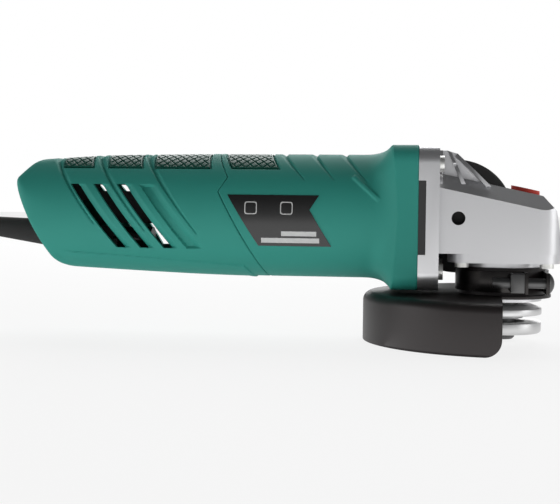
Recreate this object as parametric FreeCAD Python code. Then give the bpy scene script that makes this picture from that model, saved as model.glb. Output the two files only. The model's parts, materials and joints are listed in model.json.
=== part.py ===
import FreeCAD, Part
import math
import os

# Angle grinder for 125 mm discs, in millimetres.
# The origin is on the spindle axis at the disc seat. +X points to the nose, +Y to the user's
# left and +Z up along the spindle. The tool stands on the rim of its guard.

# Spindle, flanges and the bearing plate
SPINDLE_R = 6.0
SPINDLE_SHOULDER_R = 8.5
THREAD_R = 6.9
THREAD_END_Z = -12.8
JOURNAL_R = 4.0
FLANGE_R = 20.2
FLANGE_T = 5.0
SPIGOT_R = 11.1
SPIGOT_T = 2.0
NUT_R = 20.0
NUT_T = 5.6
NUT_TOP_Z = -3.7
PLATE_T = 4.5
NECK_R = 20.0
NECK_BOTTOM_Z = 7.0

# Gear head
HEAD_BELOW_AXIS = 17.3
HEAD_HALF_WIDTH = 28.0
HEAD_NOSE_X = 28.1
HEAD_CORNER_R = 12.0
CHAMBER_R = 24.0
CHAMBER_SHOULDER_BELOW_AXIS = 3.3
CEILING_ABOVE_AXIS = 1.7
GEAR_FLANGE_FRONT_X = -32.0
GEAR_FLANGE_T = 10.0
FLANGE_CORNER_R = 9.0
BAFFLE_T = 3.6
NOTCH_BELOW_AXIS = 17.8
NOTCH_ABOVE_AXIS = 18.1
DECK_HALF_WIDTH = 21.0
DECK_ABOVE_AXIS = 21.9
DECK_SLOPE = 0.212
BEVEL_DROP = 7.0

# Motor axis, housing and tail
HOUSING_R = 31.5
FLANGE_OVERHANG = 4.0
GUARD_UNDER_FLANGE = 2.4
WALL = 2.6
RING_T = 14.0
FLARE_L = 10.0
SPIGOT_END_X = -150.0
STATOR_SEAT_X = -115.0
TAIL_TOP_X = -239.0
TAIL_REAR_X = -248.0

# Armature
SHAFT_R = 5.0
SHAFT_END_R = 4.0
ARMATURE_R = 16.5
CORE_REAR_X = -114.0
CORE_L = 42.0
AIR_GAP = 0.5
STATOR_GAP = 0.3
FAN_GAP = 2.9
COMMUTATOR_R = 12.0
COMMUTATOR_L = 14.0
COMMUTATOR_REAR_X = -142.0
FAN_REAR_X = -62.0
FAN_L = 12.5
FAN_BLADES = 15

# Bearings: bore radius, outer radius, width
FRONT_BEARING = (SHAFT_R, 13.0, 8.0)
REAR_BEARING = (SHAFT_END_R, 11.0, 7.0)
SPINDLE_BEARING = (SPINDLE_R, 16.0, 10.0)
FRONT_BEARING_X = -38.4
REAR_BEARING_X = -160.0
SPINDLE_BEARING_IN_NECK = 9.8
BOOT_WALL = 2.4

# Bevel gears, whose pitch cones meet where the two axes cross
CROWN_TEETH = 37
PINION_TEETH = 12
CROWN_PITCH_R = 21.5
CROWN_TIP_R = 23.4
CROWN_INNER_R = 14.0
CROWN_BELOW_AXIS = 15.3
CROWN_WEB_T = 4.5
CROWN_HUB_R = 7.6
CROWN_HUB_BELOW_AXIS = 6.7
PRESSURE_ANGLE = math.radians(20)
ADDENDUM = 0.75
DEDENDUM = 1.0
BACKLASH = 0.24

# Guard and its clamp
GUARD_R = 70.0
GUARD_T = 1.6
GUARD_TOP_Z = 10.4
GUARD_RIM_Z = -14.0
GUARD_SHOULDER_R = 4.5
GUARD_FROM_DEG = 82.6
GUARD_TO_DEG = 267.5
GUARD_CORNER_R = 8.0
COLLAR_TOP_Z = 24.0
COLLAR_T = 1.6
BAND_T = 1.6
BAND_LOW_Z = 12.2
BAND_HIGH_Z = 22.4
EAR_BEYOND_BAND = 9.65
EAR_NEAR_X = 9.3
EAR_FAR_X = 19.4
EAR_T = 1.6
CLAMP_BOLT_R = 2.5
CLAMP_BOLT_BEYOND_BAND = 4.85
CLAMP_BOLT_Z = 17.3
CLAMP_BOLT_TAIL_X = -6.0
CLAMP_NUT_L = 6.7
CLAMP_NUT_HALF = 4.6
CLAMP_HEAD_R = 5.2
CLAMP_HEAD_T = 2.6

# Spindle lock
LOCK_X = 11.0
LOCK_CAP_R = 7.1
LOCK_CAP_T = 3.4
LOCK_CAP_RISE = 2.3
LOCK_PIN_R = 2.5
LOCK_PIN_BELOW_AXIS = 9.3
LOCK_WELL_ABOVE_AXIS = 4.6
LOCK_HOLE_R = 2.85
LOCK_SPRING_R = 4.4
LOCK_SPRING_WIRE_R = 0.5
LOCK_SPRING_TURNS = 3

# Side handle and its threaded holes
HANDLE_X = -22.7
HANDLE_HOLE_R = 3.35
HANDLE_HOLE_DEPTH = 9.0
HANDLE_DISC_R = 30.5
HANDLE_DISC_T = 4.0
HANDLE_DISC_GAP = 1.5
HANDLE_GRIP_R = 14.5
HANDLE_END_Y = 146.0

# Screws
CASE_SCREW_R = 2.0
CASE_SCREW_HEAD_R = 4.0
CASE_SCREW_HEAD_T = 2.2
CASE_SCREW_FROM_EDGE = 9.2
CASE_SCREW_END_X = -53.0
PLATE_SCREW_R = 1.7
PLATE_SCREW_HEAD_R = 3.4
PLATE_SCREW_AT = 20.5
TAIL_SCREW_R = 1.5
TAIL_SCREW_HEAD_R = 2.9
TAIL_SCREW_SEAT_Y = 13.0
TAIL_SCREW_END_Y = -10.0
TAIL_BOSS_R = 4.2
TAIL_BOSSES = ((-240.0, 58.0), (-205.0, 71.0), (-210.0, 27.0), (-163.0, 71.0), (-168.0, 25.0))

# Vent slots in the tail
SLOT_TOP_Z = 63.4
SLOT_BOTTOM_Z = 31.0
SLOT_FIRST_X = -217.8
SLOT_PITCH = 12.1
SLOT_WIDTH = 4.5
SLOT_SLOPE = 0.755
SLOT_COUNT = 4
BLIND_SLOT_DEPTH = 1.2

# Switch, electronics and what holds them
SLIDER_X = -108.0
SLIDER_L = 22.0
SLIDER_HALF_H = 7.0
SLIDER_RISE = 3.8
SLIDER_FOOT_X = -101.0
SLIDER_FOOT_L = 8.0
SLIDER_TRAVEL = 7.0
ROD_UNDER_WALL = 3.0
ROD_T = 2.3
ROD_HALF_H = 2.0
SWITCH_X = -212.0
SWITCH_L = 28.0
SWITCH_H = 17.0
SWITCH_NEAR_Y = 4.0
SWITCH_W = 18.0
SHELF_Z = 41.5
SHELF_T = 1.5
DIAL_X = -234.5
DIAL_R = 9.0
DIAL_Z = 48.2
DIAL_T = 4.6
DIAL_PIN_R = 1.5
CONTROLLER_Z = 55.0
CONTROLLER_H = 11.0
CONTROLLER_L = 23.0
CAPACITOR_R = 6.0
CAPACITOR_X = -198.0
CAPACITOR_L = 18.0

# Mains lead, sleeve and plug
CORD_R = 3.5
CORD_EXIT_X = -235.1
CORD_EXIT_Z = 37.4
CORD_RISE = math.radians(5.6)
SLEEVE_R = 7.0
SLEEVE_MID_R = 5.2
SLEEVE_TIP_R = 4.7
SLEEVE_L = 62.0
CORD_ROUTE = (
    (-218.2, 0.0, 35.74),
    (-262.5, 0.0, 40.09),
    (-308.0, 0.0, 41.2),
    (-351.0, 1.5, 23.0),
    (-388.0, 2.5, -3.0),
    (-430.0, 0.0, -10.5),
)
COIL_AT = (-430.0, 50.5)
COIL_TURN_R = 50.5
COIL_TURNS_IN = 3.75
PLUG_W = 36.0
PLUG_H = 19.0
PLUG_L = 37.0
PLUG_RELIEF_L = 24.0
PLUG_PIN_R = 2.4
PLUG_PIN_L = 19.0
PLUG_PIN_SPACING = 19.0

# Clearances: fixed seats, running fits and free gaps
SEAT = 0.1
RUN = 0.05
FREE = 0.4

X = FreeCAD.Vector(1, 0, 0)
Y = FreeCAD.Vector(0, 1, 0)
Z = FreeCAD.Vector(0, 0, 1)

# Values that follow from the sizes above
FLANGE_HALF = HOUSING_R + FLANGE_OVERHANG
MOTOR_Z = GUARD_TOP_Z + GUARD_UNDER_FLANGE + FLANGE_HALF
HEAD_BOTTOM_Z = MOTOR_Z - HEAD_BELOW_AXIS
CHAMBER_SHOULDER_Z = MOTOR_Z - CHAMBER_SHOULDER_BELOW_AXIS
CEILING_Z = MOTOR_Z + CEILING_ABOVE_AXIS
DECK_REAR_Z = MOTOR_Z + DECK_ABOVE_AXIS
NOTCH_LOW_Z = MOTOR_Z - NOTCH_BELOW_AXIS
NOTCH_HIGH_Z = MOTOR_Z + NOTCH_ABOVE_AXIS
SPINDLE_BEARING_Z = HEAD_BOTTOM_Z - SPINDLE_BEARING_IN_NECK
CROWN_BOTTOM_Z = MOTOR_Z - CROWN_BELOW_AXIS
CROWN_HUB_TOP_Z = MOTOR_Z - CROWN_HUB_BELOW_AXIS
LOCK_PIN_END_Z = MOTOR_Z - LOCK_PIN_BELOW_AXIS
LOCK_WELL_Z = MOTOR_Z + LOCK_WELL_ABOVE_AXIS
CASE_SCREW_AT = FLANGE_HALF - CASE_SCREW_FROM_EDGE
HANDLE_DISC_Y = FLANGE_HALF + HANDLE_DISC_GAP
GEAR_FLANGE_REAR_X = GEAR_FLANGE_FRONT_X - GEAR_FLANGE_T
RING_REAR_X = GEAR_FLANGE_REAR_X - RING_T
FLARE_REAR_X = RING_REAR_X - FLARE_L
HOUSING_INNER_R = HOUSING_R - WALL
SPIGOT_OUTER_R = HOUSING_INNER_R - SEAT
STATOR_R = HOUSING_INNER_R - STATOR_GAP
FAN_R = HOUSING_INNER_R - FAN_GAP
ROD_Y = HOUSING_INNER_R - ROD_UNDER_WALL
STATOR_FLAT = ROD_Y - FREE
SPIGOT_INNER_R = SPIGOT_OUTER_R - 2.0
PITCH_SLOPE = PINION_TEETH / CROWN_TEETH
MODULE = 2 * CROWN_PITCH_R / CROWN_TEETH
PINION_PITCH_R = CROWN_PITCH_R * PITCH_SLOPE
PINION_SEAT_X = -CROWN_TIP_R - 2.6
LOCK_HOLE_AT_R = LOCK_X
COLLAR_R = NECK_R + RUN + COLLAR_T
BAND_INNER_R = COLLAR_R + SEAT
BAND_R = BAND_INNER_R + BAND_T
EAR_OUT = BAND_R + EAR_BEYOND_BAND
CLAMP_BOLT_Y = -BAND_R - CLAMP_BOLT_BEYOND_BAND
REAR_BOSS_INNER_R = REAR_BEARING[1] + BOOT_WALL + SEAT
REAR_BOSS_R = REAR_BOSS_INNER_R + WALL
CORD_AXIS = FreeCAD.Vector(-math.cos(CORD_RISE), 0, math.sin(CORD_RISE))
CORD_EXIT = FreeCAD.Vector(CORD_EXIT_X, 0, CORD_EXIT_Z)
FLOOR_Z = GUARD_RIM_Z

NODES = {}


def vec(x, y, z):
    return FreeCAD.Vector(x, y, z)


def box(x0, x1, y0, y1, z0, z1):
    """A block between two corners."""
    return Part.makeBox(x1 - x0, y1 - y0, z1 - z0, vec(x0, y0, z0))


def rod_x(radius, x0, x1, y=0.0, z=MOTOR_Z):
    """A cylinder along X, on the motor axis unless moved."""
    return Part.makeCylinder(radius, x1 - x0, vec(x0, y, z), X)


def rod_y(radius, y0, y1, x, z):
    """A cylinder along Y."""
    return Part.makeCylinder(radius, y1 - y0, vec(x, y0, z), Y)


def rod_z(radius, z0, z1, x=0.0, y=0.0):
    """A cylinder along Z, on the spindle axis unless moved."""
    return Part.makeCylinder(radius, z1 - z0, vec(x, y, z0), Z)


def tube_x(outer, inner, x0, x1):
    return rod_x(outer, x0, x1).cut(rod_x(inner, x0 - 1, x1 + 1))


def tube_z(outer, inner, z0, z1):
    return rod_z(outer, z0, z1).cut(rod_z(inner, z0 - 1, z1 + 1))


def prism(points, direction):
    """A polygon given by 3-D points, pushed along a direction."""
    wire = Part.makePolygon([vec(*p) for p in points] + [vec(*points[0])])
    return Part.Face(wire).extrude(direction)


def prism_xz(points, y0, y1):
    """An outline in the XZ plane, pushed from y0 to y1."""
    return prism([(x, y0, z) for x, z in points], vec(0, y1 - y0, 0))


def rounded_block_x(half, corner, x0, x1):
    """A square block about the motor axis with rounded long edges."""
    block = box(x0, x1, -half, half, MOTOR_Z - half, MOTOR_Z + half)
    edges = [e for e in block.Edges if abs(e.tangentAt(e.FirstParameter).x) > 0.9]
    return block.makeFillet(corner, edges)


def revolve_z(points, angle=360.0):
    """A radius and height outline turned about the spindle axis."""
    wire = Part.makePolygon([vec(r, 0, z) for r, z in points + points[:1]])
    return Part.Face(wire).revolve(vec(0, 0, 0), Z, angle)


def square_pattern(reach):
    return [(a * reach, b * reach) for a in (-1, 1) for b in (-1, 1)]


def fuse_all(shapes):
    return shapes[0].fuse(shapes[1:]).removeSplitter()


def around_x(shape, count):
    """Copies of a shape, spread evenly about the motor axis."""
    copies = []
    for index in range(count):
        copy = shape.copy()
        copy.rotate(vec(0, 0, MOTOR_Z), X, index * 360.0 / count)
        copies.append(copy)
    return copies


def around_z(shape, count, first=0.0):
    """Copies of a shape, spread evenly about the spindle axis."""
    copies = []
    for index in range(count):
        copy = shape.copy()
        copy.rotate(vec(0, 0, 0), Z, first + index * 360.0 / count)
        copies.append(copy)
    return copies


def deck_z(x):
    """Height of the gear head's sloping deck."""
    return DECK_REAR_Z - (x - GEAR_FLANGE_FRONT_X) * DECK_SLOPE


# ---------------------------------------------------------------- gear head

def head_section(x):
    """Outline of the head across the tool at x, with a bevel below the deck."""
    top = deck_z(x)
    half = [(HEAD_HALF_WIDTH, HEAD_BOTTOM_Z), (HEAD_HALF_WIDTH, top - BEVEL_DROP), (DECK_HALF_WIDTH, top)]
    mirrored = [(-y, z) for y, z in reversed(half)]
    return Part.makePolygon([vec(x, y, z) for y, z in half + mirrored + half[:1]])


def head_block():
    """The solid outer form of the head in front of its flange."""
    block = Part.makeLoft([head_section(GEAR_FLANGE_FRONT_X), head_section(HEAD_NOSE_X)], True, True)
    plan = box(GEAR_FLANGE_FRONT_X, HEAD_NOSE_X, -HEAD_HALF_WIDTH, HEAD_HALF_WIDTH, 0, 100)
    corners = [e for e in plan.Edges if abs(e.tangentAt(e.FirstParameter).z) > 0.9
               and e.CenterOfMass.x > 0]
    plan = plan.makeFillet(HEAD_CORNER_R, corners)
    nose = prism_xz([(GEAR_FLANGE_FRONT_X, 0), (HEAD_NOSE_X, 0), (HEAD_NOSE_X, HEAD_BOTTOM_Z),
                     (HEAD_NOSE_X - 3.6, HEAD_BOTTOM_Z + 21.2), (HEAD_NOSE_X - 10, HEAD_BOTTOM_Z + 28.6),
                     (HEAD_NOSE_X - 10, 100), (GEAR_FLANGE_FRONT_X, 100)], -40, 40)
    return block.common(plan).common(nose)


def neck():
    """The ribbed hump between the flange and the deck."""
    x0 = GEAR_FLANGE_FRONT_X
    top = MOTOR_Z + FLANGE_HALF - 2.2
    low = MOTOR_Z + 11.7
    core = prism_xz([(x0, low), (x0, top), (x0 + 3.6, top), (x0 + 8.5, top - 1.5), (x0 + 11.5, top - 4.4),
                     (x0 + 25, deck_z(x0 + 25) - 1), (x0 + 25, low)], -15, 15)
    front_rib = prism_xz([(x0 + 8.5, top - 1.5), (x0 + 11.5, top - 4.4), (x0 + 25, deck_z(x0 + 25) - 1),
                          (x0 + 22.5, deck_z(x0 + 25) - 1), (x0 + 7.4, top - 3.0)], -24, 24)
    middle_rib = prism_xz([(x0 + 3.6, top), (x0 + 5.6, top - 1.2), (x0 + 12.6, low + 5), (x0 + 10.6, low + 5)],
                          -24, 24)
    rear_rib = prism_xz([(x0, low), (x0, top), (x0 + 1.4, top), (x0 + 1.4, low)], -26, 26)
    bevel = prism([(x0 - 1, 27, low), (x0 - 1, 27, low + 6), (x0 - 1, 17, top + 1), (x0 - 1, -17, top + 1),
                   (x0 - 1, -27, low + 6), (x0 - 1, -27, low)], vec(40, 0, 0))
    return fuse_all([core, front_rib, middle_rib, rear_rib]).common(bevel)


def gear_housing():
    flange = rounded_block_x(FLANGE_HALF, FLANGE_CORNER_R, GEAR_FLANGE_REAR_X, GEAR_FLANGE_FRONT_X)
    body = fuse_all([flange, head_block(), neck()])
    pocket_half = FLANGE_HALF - 4.0
    pocket_x = GEAR_FLANGE_REAR_X + BAFFLE_T
    cuts = [
        rounded_block_x(pocket_half, FLANGE_CORNER_R - 4, GEAR_FLANGE_REAR_X - 1, pocket_x),
        box(GEAR_FLANGE_REAR_X - 1, pocket_x, -FLANGE_HALF - 5, FLANGE_HALF + 5, NOTCH_LOW_Z, NOTCH_HIGH_Z),
        rod_x(FRONT_BEARING[1] + SEAT, pocket_x - 1, FRONT_BEARING_X + FRONT_BEARING[2]),
        rod_x(9.5, pocket_x, -CHAMBER_R + 4),
        rod_z(CHAMBER_R, HEAD_BOTTOM_Z - 1, CHAMBER_SHOULDER_Z),
        rod_z(CHAMBER_R - 5, CHAMBER_SHOULDER_Z - 1, CEILING_Z),
        box(-30, -9.2, -9.5, 9.5, MOTOR_Z - 9.3, MOTOR_Z + 9.3),
        rod_z(LOCK_CAP_R + 0.25, LOCK_WELL_Z, 90, LOCK_X),
        rod_z(LOCK_PIN_R + RUN, CEILING_Z - 1, LOCK_WELL_Z + 1, LOCK_X),
    ]
    for y, z in square_pattern(CASE_SCREW_AT):
        cuts.append(rod_x(CASE_SCREW_R + SEAT, GEAR_FLANGE_REAR_X - 1, GEAR_FLANGE_FRONT_X + 4, y, MOTOR_Z + z))
        cuts.append(rod_x(CASE_SCREW_HEAD_R + 1, GEAR_FLANGE_FRONT_X, GEAR_FLANGE_FRONT_X + 8, y, MOTOR_Z + z))
    for x, y in square_pattern(PLATE_SCREW_AT):
        cuts.append(rod_z(PLATE_SCREW_R, HEAD_BOTTOM_Z - 1, HEAD_BOTTOM_Z + 10, x, y))
    for side in (-1, 1):
        near = min(side * 17.0, side * 24.0)
        cuts.append(box(pocket_x - 1, GEAR_FLANGE_FRONT_X + 1, near, near + 7, MOTOR_Z + 21.7, MOTOR_Z + 28.7))
        inner = min(side * HEAD_HALF_WIDTH, side * (HEAD_HALF_WIDTH - HANDLE_HOLE_DEPTH))
        cuts.append(rod_y(HANDLE_HOLE_R, inner, inner + HANDLE_HOLE_DEPTH, HANDLE_X, MOTOR_Z))
    body = body.cut(cuts)
    bush_boss = rod_z(8.0, CHAMBER_SHOULDER_Z, LOCK_WELL_Z - 1.2)
    body = body.fuse(bush_boss)
    body = body.cut(rod_z(6.0 + SEAT, CHAMBER_SHOULDER_Z - 1, LOCK_WELL_Z - 1.8))
    NODES["gear_housing"] = body.cut(rod_z(LOCK_PIN_R + 0.3, CHAMBER_SHOULDER_Z - 1, CEILING_Z + 1, LOCK_X))
    NODES["spindle_top_bush"] = tube_z(6.0, JOURNAL_R + RUN, CHAMBER_SHOULDER_Z, LOCK_WELL_Z - 1.9)


def case_screws():
    screws = []
    for y, z in square_pattern(CASE_SCREW_AT):
        shank = rod_x(CASE_SCREW_R, CASE_SCREW_END_X, GEAR_FLANGE_FRONT_X, y, MOTOR_Z + z)
        x0 = GEAR_FLANGE_FRONT_X
        head = rod_x(CASE_SCREW_HEAD_R, x0, x0 + CASE_SCREW_HEAD_T, y, MOTOR_Z + z)
        cross = box(x0 + 0.8, x0 + 3, y - 2.2, y + 2.2, MOTOR_Z + z - 0.45, MOTOR_Z + z + 0.45)
        other = box(x0 + 0.8, x0 + 3, y - 0.45, y + 0.45, MOTOR_Z + z - 2.2, MOTOR_Z + z + 2.2)
        screws.append(shank.fuse(head).cut([cross, other]))
    NODES["gear_housing_screws"] = Part.makeCompound(screws)


def baffle_ring():
    """Black air guide plate behind the gear head, with tabs that show in its side notches."""
    half = FLANGE_HALF - 4.0 - SEAT
    x1 = GEAR_FLANGE_REAR_X + BAFFLE_T - SEAT
    plate = rounded_block_x(half, FLANGE_CORNER_R - 4, GEAR_FLANGE_REAR_X, x1)
    tabs = box(GEAR_FLANGE_REAR_X, x1, -FLANGE_HALF + 0.3, FLANGE_HALF - 0.3,
               NOTCH_LOW_Z + SEAT, NOTCH_HIGH_Z - SEAT)
    cuts = [rod_x(SHAFT_R + 1.5, GEAR_FLANGE_REAR_X - 1, x1 + 1)]
    for y, z in square_pattern(CASE_SCREW_AT):
        cuts.append(rod_x(CASE_SCREW_R + SEAT, GEAR_FLANGE_REAR_X - 1, x1 + 1, y, MOTOR_Z + z))
    port = rod_x(3.6, GEAR_FLANGE_REAR_X - 1, x1 + 1, 0, MOTOR_Z + 20.5)
    cuts += around_x(port, 12)
    NODES["baffle_ring"] = plate.fuse(tabs).cut(cuts)


def bearing_plate():
    z0 = HEAD_BOTTOM_Z - PLATE_T
    flange = box(-HEAD_HALF_WIDTH + 0.6, HEAD_NOSE_X - 0.6, -HEAD_HALF_WIDTH + 0.6, HEAD_HALF_WIDTH - 0.6,
                 z0, HEAD_BOTTOM_Z)
    corners = [e for e in flange.Edges if abs(e.tangentAt(e.FirstParameter).z) > 0.9]
    flange = flange.makeFillet(HEAD_CORNER_R, corners)
    neck_tube = rod_z(NECK_R, NECK_BOTTOM_Z, HEAD_BOTTOM_Z)
    ring = rod_z(CHAMBER_R - 0.2, HEAD_BOTTOM_Z - 1, HEAD_BOTTOM_Z + 0.8)
    bore_r, outer_r, width = SPINDLE_BEARING
    cuts = [rod_z(outer_r + SEAT, SPINDLE_BEARING_Z, HEAD_BOTTOM_Z + 2),
            rod_z(outer_r - 3, 0, HEAD_BOTTOM_Z)]
    for x, y in square_pattern(PLATE_SCREW_AT):
        cuts.append(rod_z(PLATE_SCREW_R + SEAT, z0 - 1, HEAD_BOTTOM_Z + 1, x, y))
    NODES["bearing_plate"] = fuse_all([flange, neck_tube, ring]).cut(cuts)
    seal = tube_z(outer_r - 3 - SEAT, SPINDLE_SHOULDER_R + 0.3, 15.0, 18.5)
    NODES["spindle_seal"] = seal
    screws = []
    for x, y in square_pattern(PLATE_SCREW_AT):
        head = rod_z(PLATE_SCREW_HEAD_R, z0 - 2.3, z0, x, y)
        slot = box(x - 2.0, x + 2.0, y - 0.4, y + 0.4, z0 - 3, z0 - 1.2)
        other = box(x - 0.4, x + 0.4, y - 2.0, y + 2.0, z0 - 3, z0 - 1.2)
        screws.append(head.fuse(rod_z(PLATE_SCREW_R - RUN, z0, HEAD_BOTTOM_Z + 9, x, y)).cut([slot, other]))
    NODES["bearing_plate_screws"] = Part.makeCompound(screws)


# ---------------------------------------------------------------- bearings

def bearing(prefix, sizes, along_x, start):
    """The two races of a ball bearing, and its balls, which are returned."""
    bore_r, outer_r, width = sizes
    pitch_r = (bore_r + outer_r) / 2
    ball_r = (outer_r - bore_r) * 0.28
    race_gap = ball_r * 0.62
    make_tube = tube_x if along_x else tube_z
    inner = make_tube(pitch_r - race_gap, bore_r, start, start + width)
    outer = make_tube(outer_r, pitch_r + race_gap, start, start + width)
    middle = start + width / 2
    centre = vec(middle, 0, MOTOR_Z) if along_x else vec(0, 0, middle)
    groove = Part.makeTorus(pitch_r, ball_r + RUN, centre, X if along_x else Z)
    first = centre + (Z if along_x else X) * pitch_r
    ball = Part.makeSphere(ball_r, first)
    count = int(2 * math.pi * pitch_r / (ball_r * 2.7))
    NODES[prefix + "_inner_race"] = inner.cut(groove)
    NODES[prefix + "_outer_race"] = outer.cut(groove)
    return around_x(ball, count) if along_x else around_z(ball, count)


def bearings():
    balls = bearing("front_bearing", FRONT_BEARING, True, FRONT_BEARING_X)
    balls += bearing("rear_bearing", REAR_BEARING, True, REAR_BEARING_X)
    balls += bearing("spindle_bearing", SPINDLE_BEARING, False, SPINDLE_BEARING_Z)
    NODES["bearing_balls"] = Part.makeCompound(balls)


# ---------------------------------------------------------------- gears

def involute_half_angle(radius, pitch_r, half_tooth):
    """Half the angle that a tooth covers at a radius, for a tooth of half_tooth at the pitch circle."""
    base_r = pitch_r * math.cos(PRESSURE_ANGLE)
    inv_pitch = math.tan(PRESSURE_ANGLE) - PRESSURE_ANGLE
    if radius <= base_r:
        return half_tooth + inv_pitch
    angle = math.acos(base_r / radius)
    return half_tooth + inv_pitch - (math.tan(angle) - angle)


def pinion_outline(x):
    """Pinion teeth in the plane at x, scaled towards the point where the axes cross."""
    scale = -x / CROWN_PITCH_R
    pitch_r = PINION_PITCH_R
    tip = pitch_r + ADDENDUM * MODULE
    root = pitch_r - DEDENDUM * MODULE
    half_tooth = math.pi / 2 / PINION_TEETH - BACKLASH / 2 / pitch_r
    radii = [root, pitch_r * math.cos(PRESSURE_ANGLE), pitch_r, (pitch_r + tip) / 2, tip]
    points = []
    for tooth in range(PINION_TEETH):
        middle = -math.pi / 2 + tooth * 2 * math.pi / PINION_TEETH
        flank = [(r, involute_half_angle(r, pitch_r, half_tooth)) for r in radii]
        left = [(r, middle - a) for r, a in flank]
        right = [(r, middle + a) for r, a in reversed(flank)]
        for r, angle in left + right:
            points.append(vec(x, r * scale * math.cos(angle), MOTOR_Z + r * scale * math.sin(angle)))
    return Part.makePolygon(points + points[:1])


def pinion():
    teeth = Part.makeLoft([pinion_outline(-CROWN_TIP_R), pinion_outline(-CROWN_INNER_R)], True, True)
    collar = rod_x(SHAFT_R + 1.6, FRONT_BEARING_X + FRONT_BEARING[2], -CROWN_TIP_R)
    bore = rod_x(SHAFT_END_R, PINION_SEAT_X, 0)
    relief = rod_x(SHAFT_R, FRONT_BEARING_X, PINION_SEAT_X)
    NODES["pinion"] = fuse_all([collar, teeth]).cut([bore, relief])
    hexagon = [vec(-CROWN_INNER_R, 4.6 * math.cos(a), MOTOR_Z + 4.6 * math.sin(a))
               for a in [k * math.pi / 3 for k in range(7)]]
    nut = Part.Face(Part.makePolygon(hexagon)).extrude(vec(3.2, 0, 0))
    NODES["pinion_nut"] = nut.cut(rod_x(SHAFT_END_R - 0.9, -CROWN_INNER_R - 1, 0))


def crown_gap(radius):
    """Outline of a crown gear's tooth gap at a radius, seen along that radius."""
    scale = radius / CROWN_PITCH_R
    pitch_z = MOTOR_Z - radius * PITCH_SLOPE
    half = math.pi * MODULE / 4 + BACKLASH / 2
    slope = math.tan(PRESSURE_ANGLE)
    low = half - DEDENDUM * MODULE * slope
    high = half + 2 * ADDENDUM * MODULE * slope
    z0 = pitch_z - DEDENDUM * MODULE * scale
    z1 = pitch_z + 2 * ADDENDUM * MODULE * scale
    corners = [(-low * scale, z0), (low * scale, z0), (high * scale, z1), (-high * scale, z1)]
    return Part.makePolygon([vec(radius, y, z) for y, z in corners + corners[:1]])


def crown_tip_z(radius):
    return MOTOR_Z - radius * PITCH_SLOPE + ADDENDUM * MODULE * radius / CROWN_PITCH_R


def crown_gear():
    web_z = CROWN_BOTTOM_Z + CROWN_WEB_T
    hub_z = SPINDLE_BEARING_Z + SPINDLE_BEARING[2]
    blank = revolve_z([(SPINDLE_R, hub_z), (CROWN_HUB_R, hub_z), (CROWN_HUB_R, CROWN_BOTTOM_Z),
                       (CROWN_TIP_R, CROWN_BOTTOM_Z),
                       (CROWN_TIP_R, crown_tip_z(CROWN_TIP_R)), (CROWN_INNER_R, crown_tip_z(CROWN_INNER_R)),
                       (CROWN_INNER_R, web_z), (CROWN_HUB_R, web_z), (CROWN_HUB_R, CROWN_HUB_TOP_Z),
                       (SPINDLE_R, CROWN_HUB_TOP_Z)])
    gap = Part.makeLoft([crown_gap(CROWN_TIP_R + 2), crown_gap(CROWN_INNER_R - 2)], True, True)
    hole = rod_z(LOCK_HOLE_R, CROWN_BOTTOM_Z - 1, web_z + 1, LOCK_HOLE_AT_R)
    cuts = around_z(gap, CROWN_TEETH, 180.0) + around_z(hole, 4)
    NODES["crown_gear"] = blank.cut(cuts)


# ---------------------------------------------------------------- spindle group

def spindle():
    parts = [
        rod_z(THREAD_R, THREAD_END_Z + 1, FLANGE_T),
        Part.makeCone(THREAD_R - 1, THREAD_R, 1, vec(0, 0, THREAD_END_Z), Z),
        rod_z(SPINDLE_SHOULDER_R, FLANGE_T, SPINDLE_BEARING_Z),
        rod_z(SPINDLE_R, SPINDLE_BEARING_Z, CROWN_HUB_TOP_Z + 1.6),
        rod_z(JOURNAL_R, CROWN_HUB_TOP_Z + 1.6, LOCK_WELL_Z - 2.2),
    ]
    groove = tube_z(SPINDLE_R + 1, SPINDLE_R - 0.6, CROWN_HUB_TOP_Z, CROWN_HUB_TOP_Z + 1.1)
    NODES["spindle"] = fuse_all(parts).cut(groove)
    clip = tube_z(SPINDLE_R + 1.4, SPINDLE_R - 0.6 + SEAT, CROWN_HUB_TOP_Z, CROWN_HUB_TOP_Z + 1.0)
    NODES["spindle_circlip"] = clip.cut(box(2, 12, -2, 2, CROWN_HUB_TOP_Z - 1, CROWN_HUB_TOP_Z + 2))


def flanges():
    inner = revolve_z([(THREAD_R + RUN, -SPIGOT_T), (SPIGOT_R, -SPIGOT_T), (SPIGOT_R, 0), (FLANGE_R, 0),
                       (FLANGE_R, FLANGE_T - 1.8), (FLANGE_R - 5, FLANGE_T), (THREAD_R + RUN, FLANGE_T)])
    NODES["inner_flange"] = inner
    top = NUT_TOP_Z
    nut = revolve_z([(THREAD_R + RUN, top - 2.6), (SPIGOT_R + 0.6, top - 2.6), (SPIGOT_R + 0.6, top), (NUT_R, top),
                     (NUT_R, top - NUT_T + 0.8), (NUT_R - 0.8, top - NUT_T), (THREAD_R + RUN, top - NUT_T)])
    holes = around_z(rod_z(2.5, top - NUT_T - 1, top - NUT_T + 3.2, 15.0), 4, 45.0)
    NODES["flange_nut"] = nut.cut(holes)


# ---------------------------------------------------------------- guard

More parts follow.
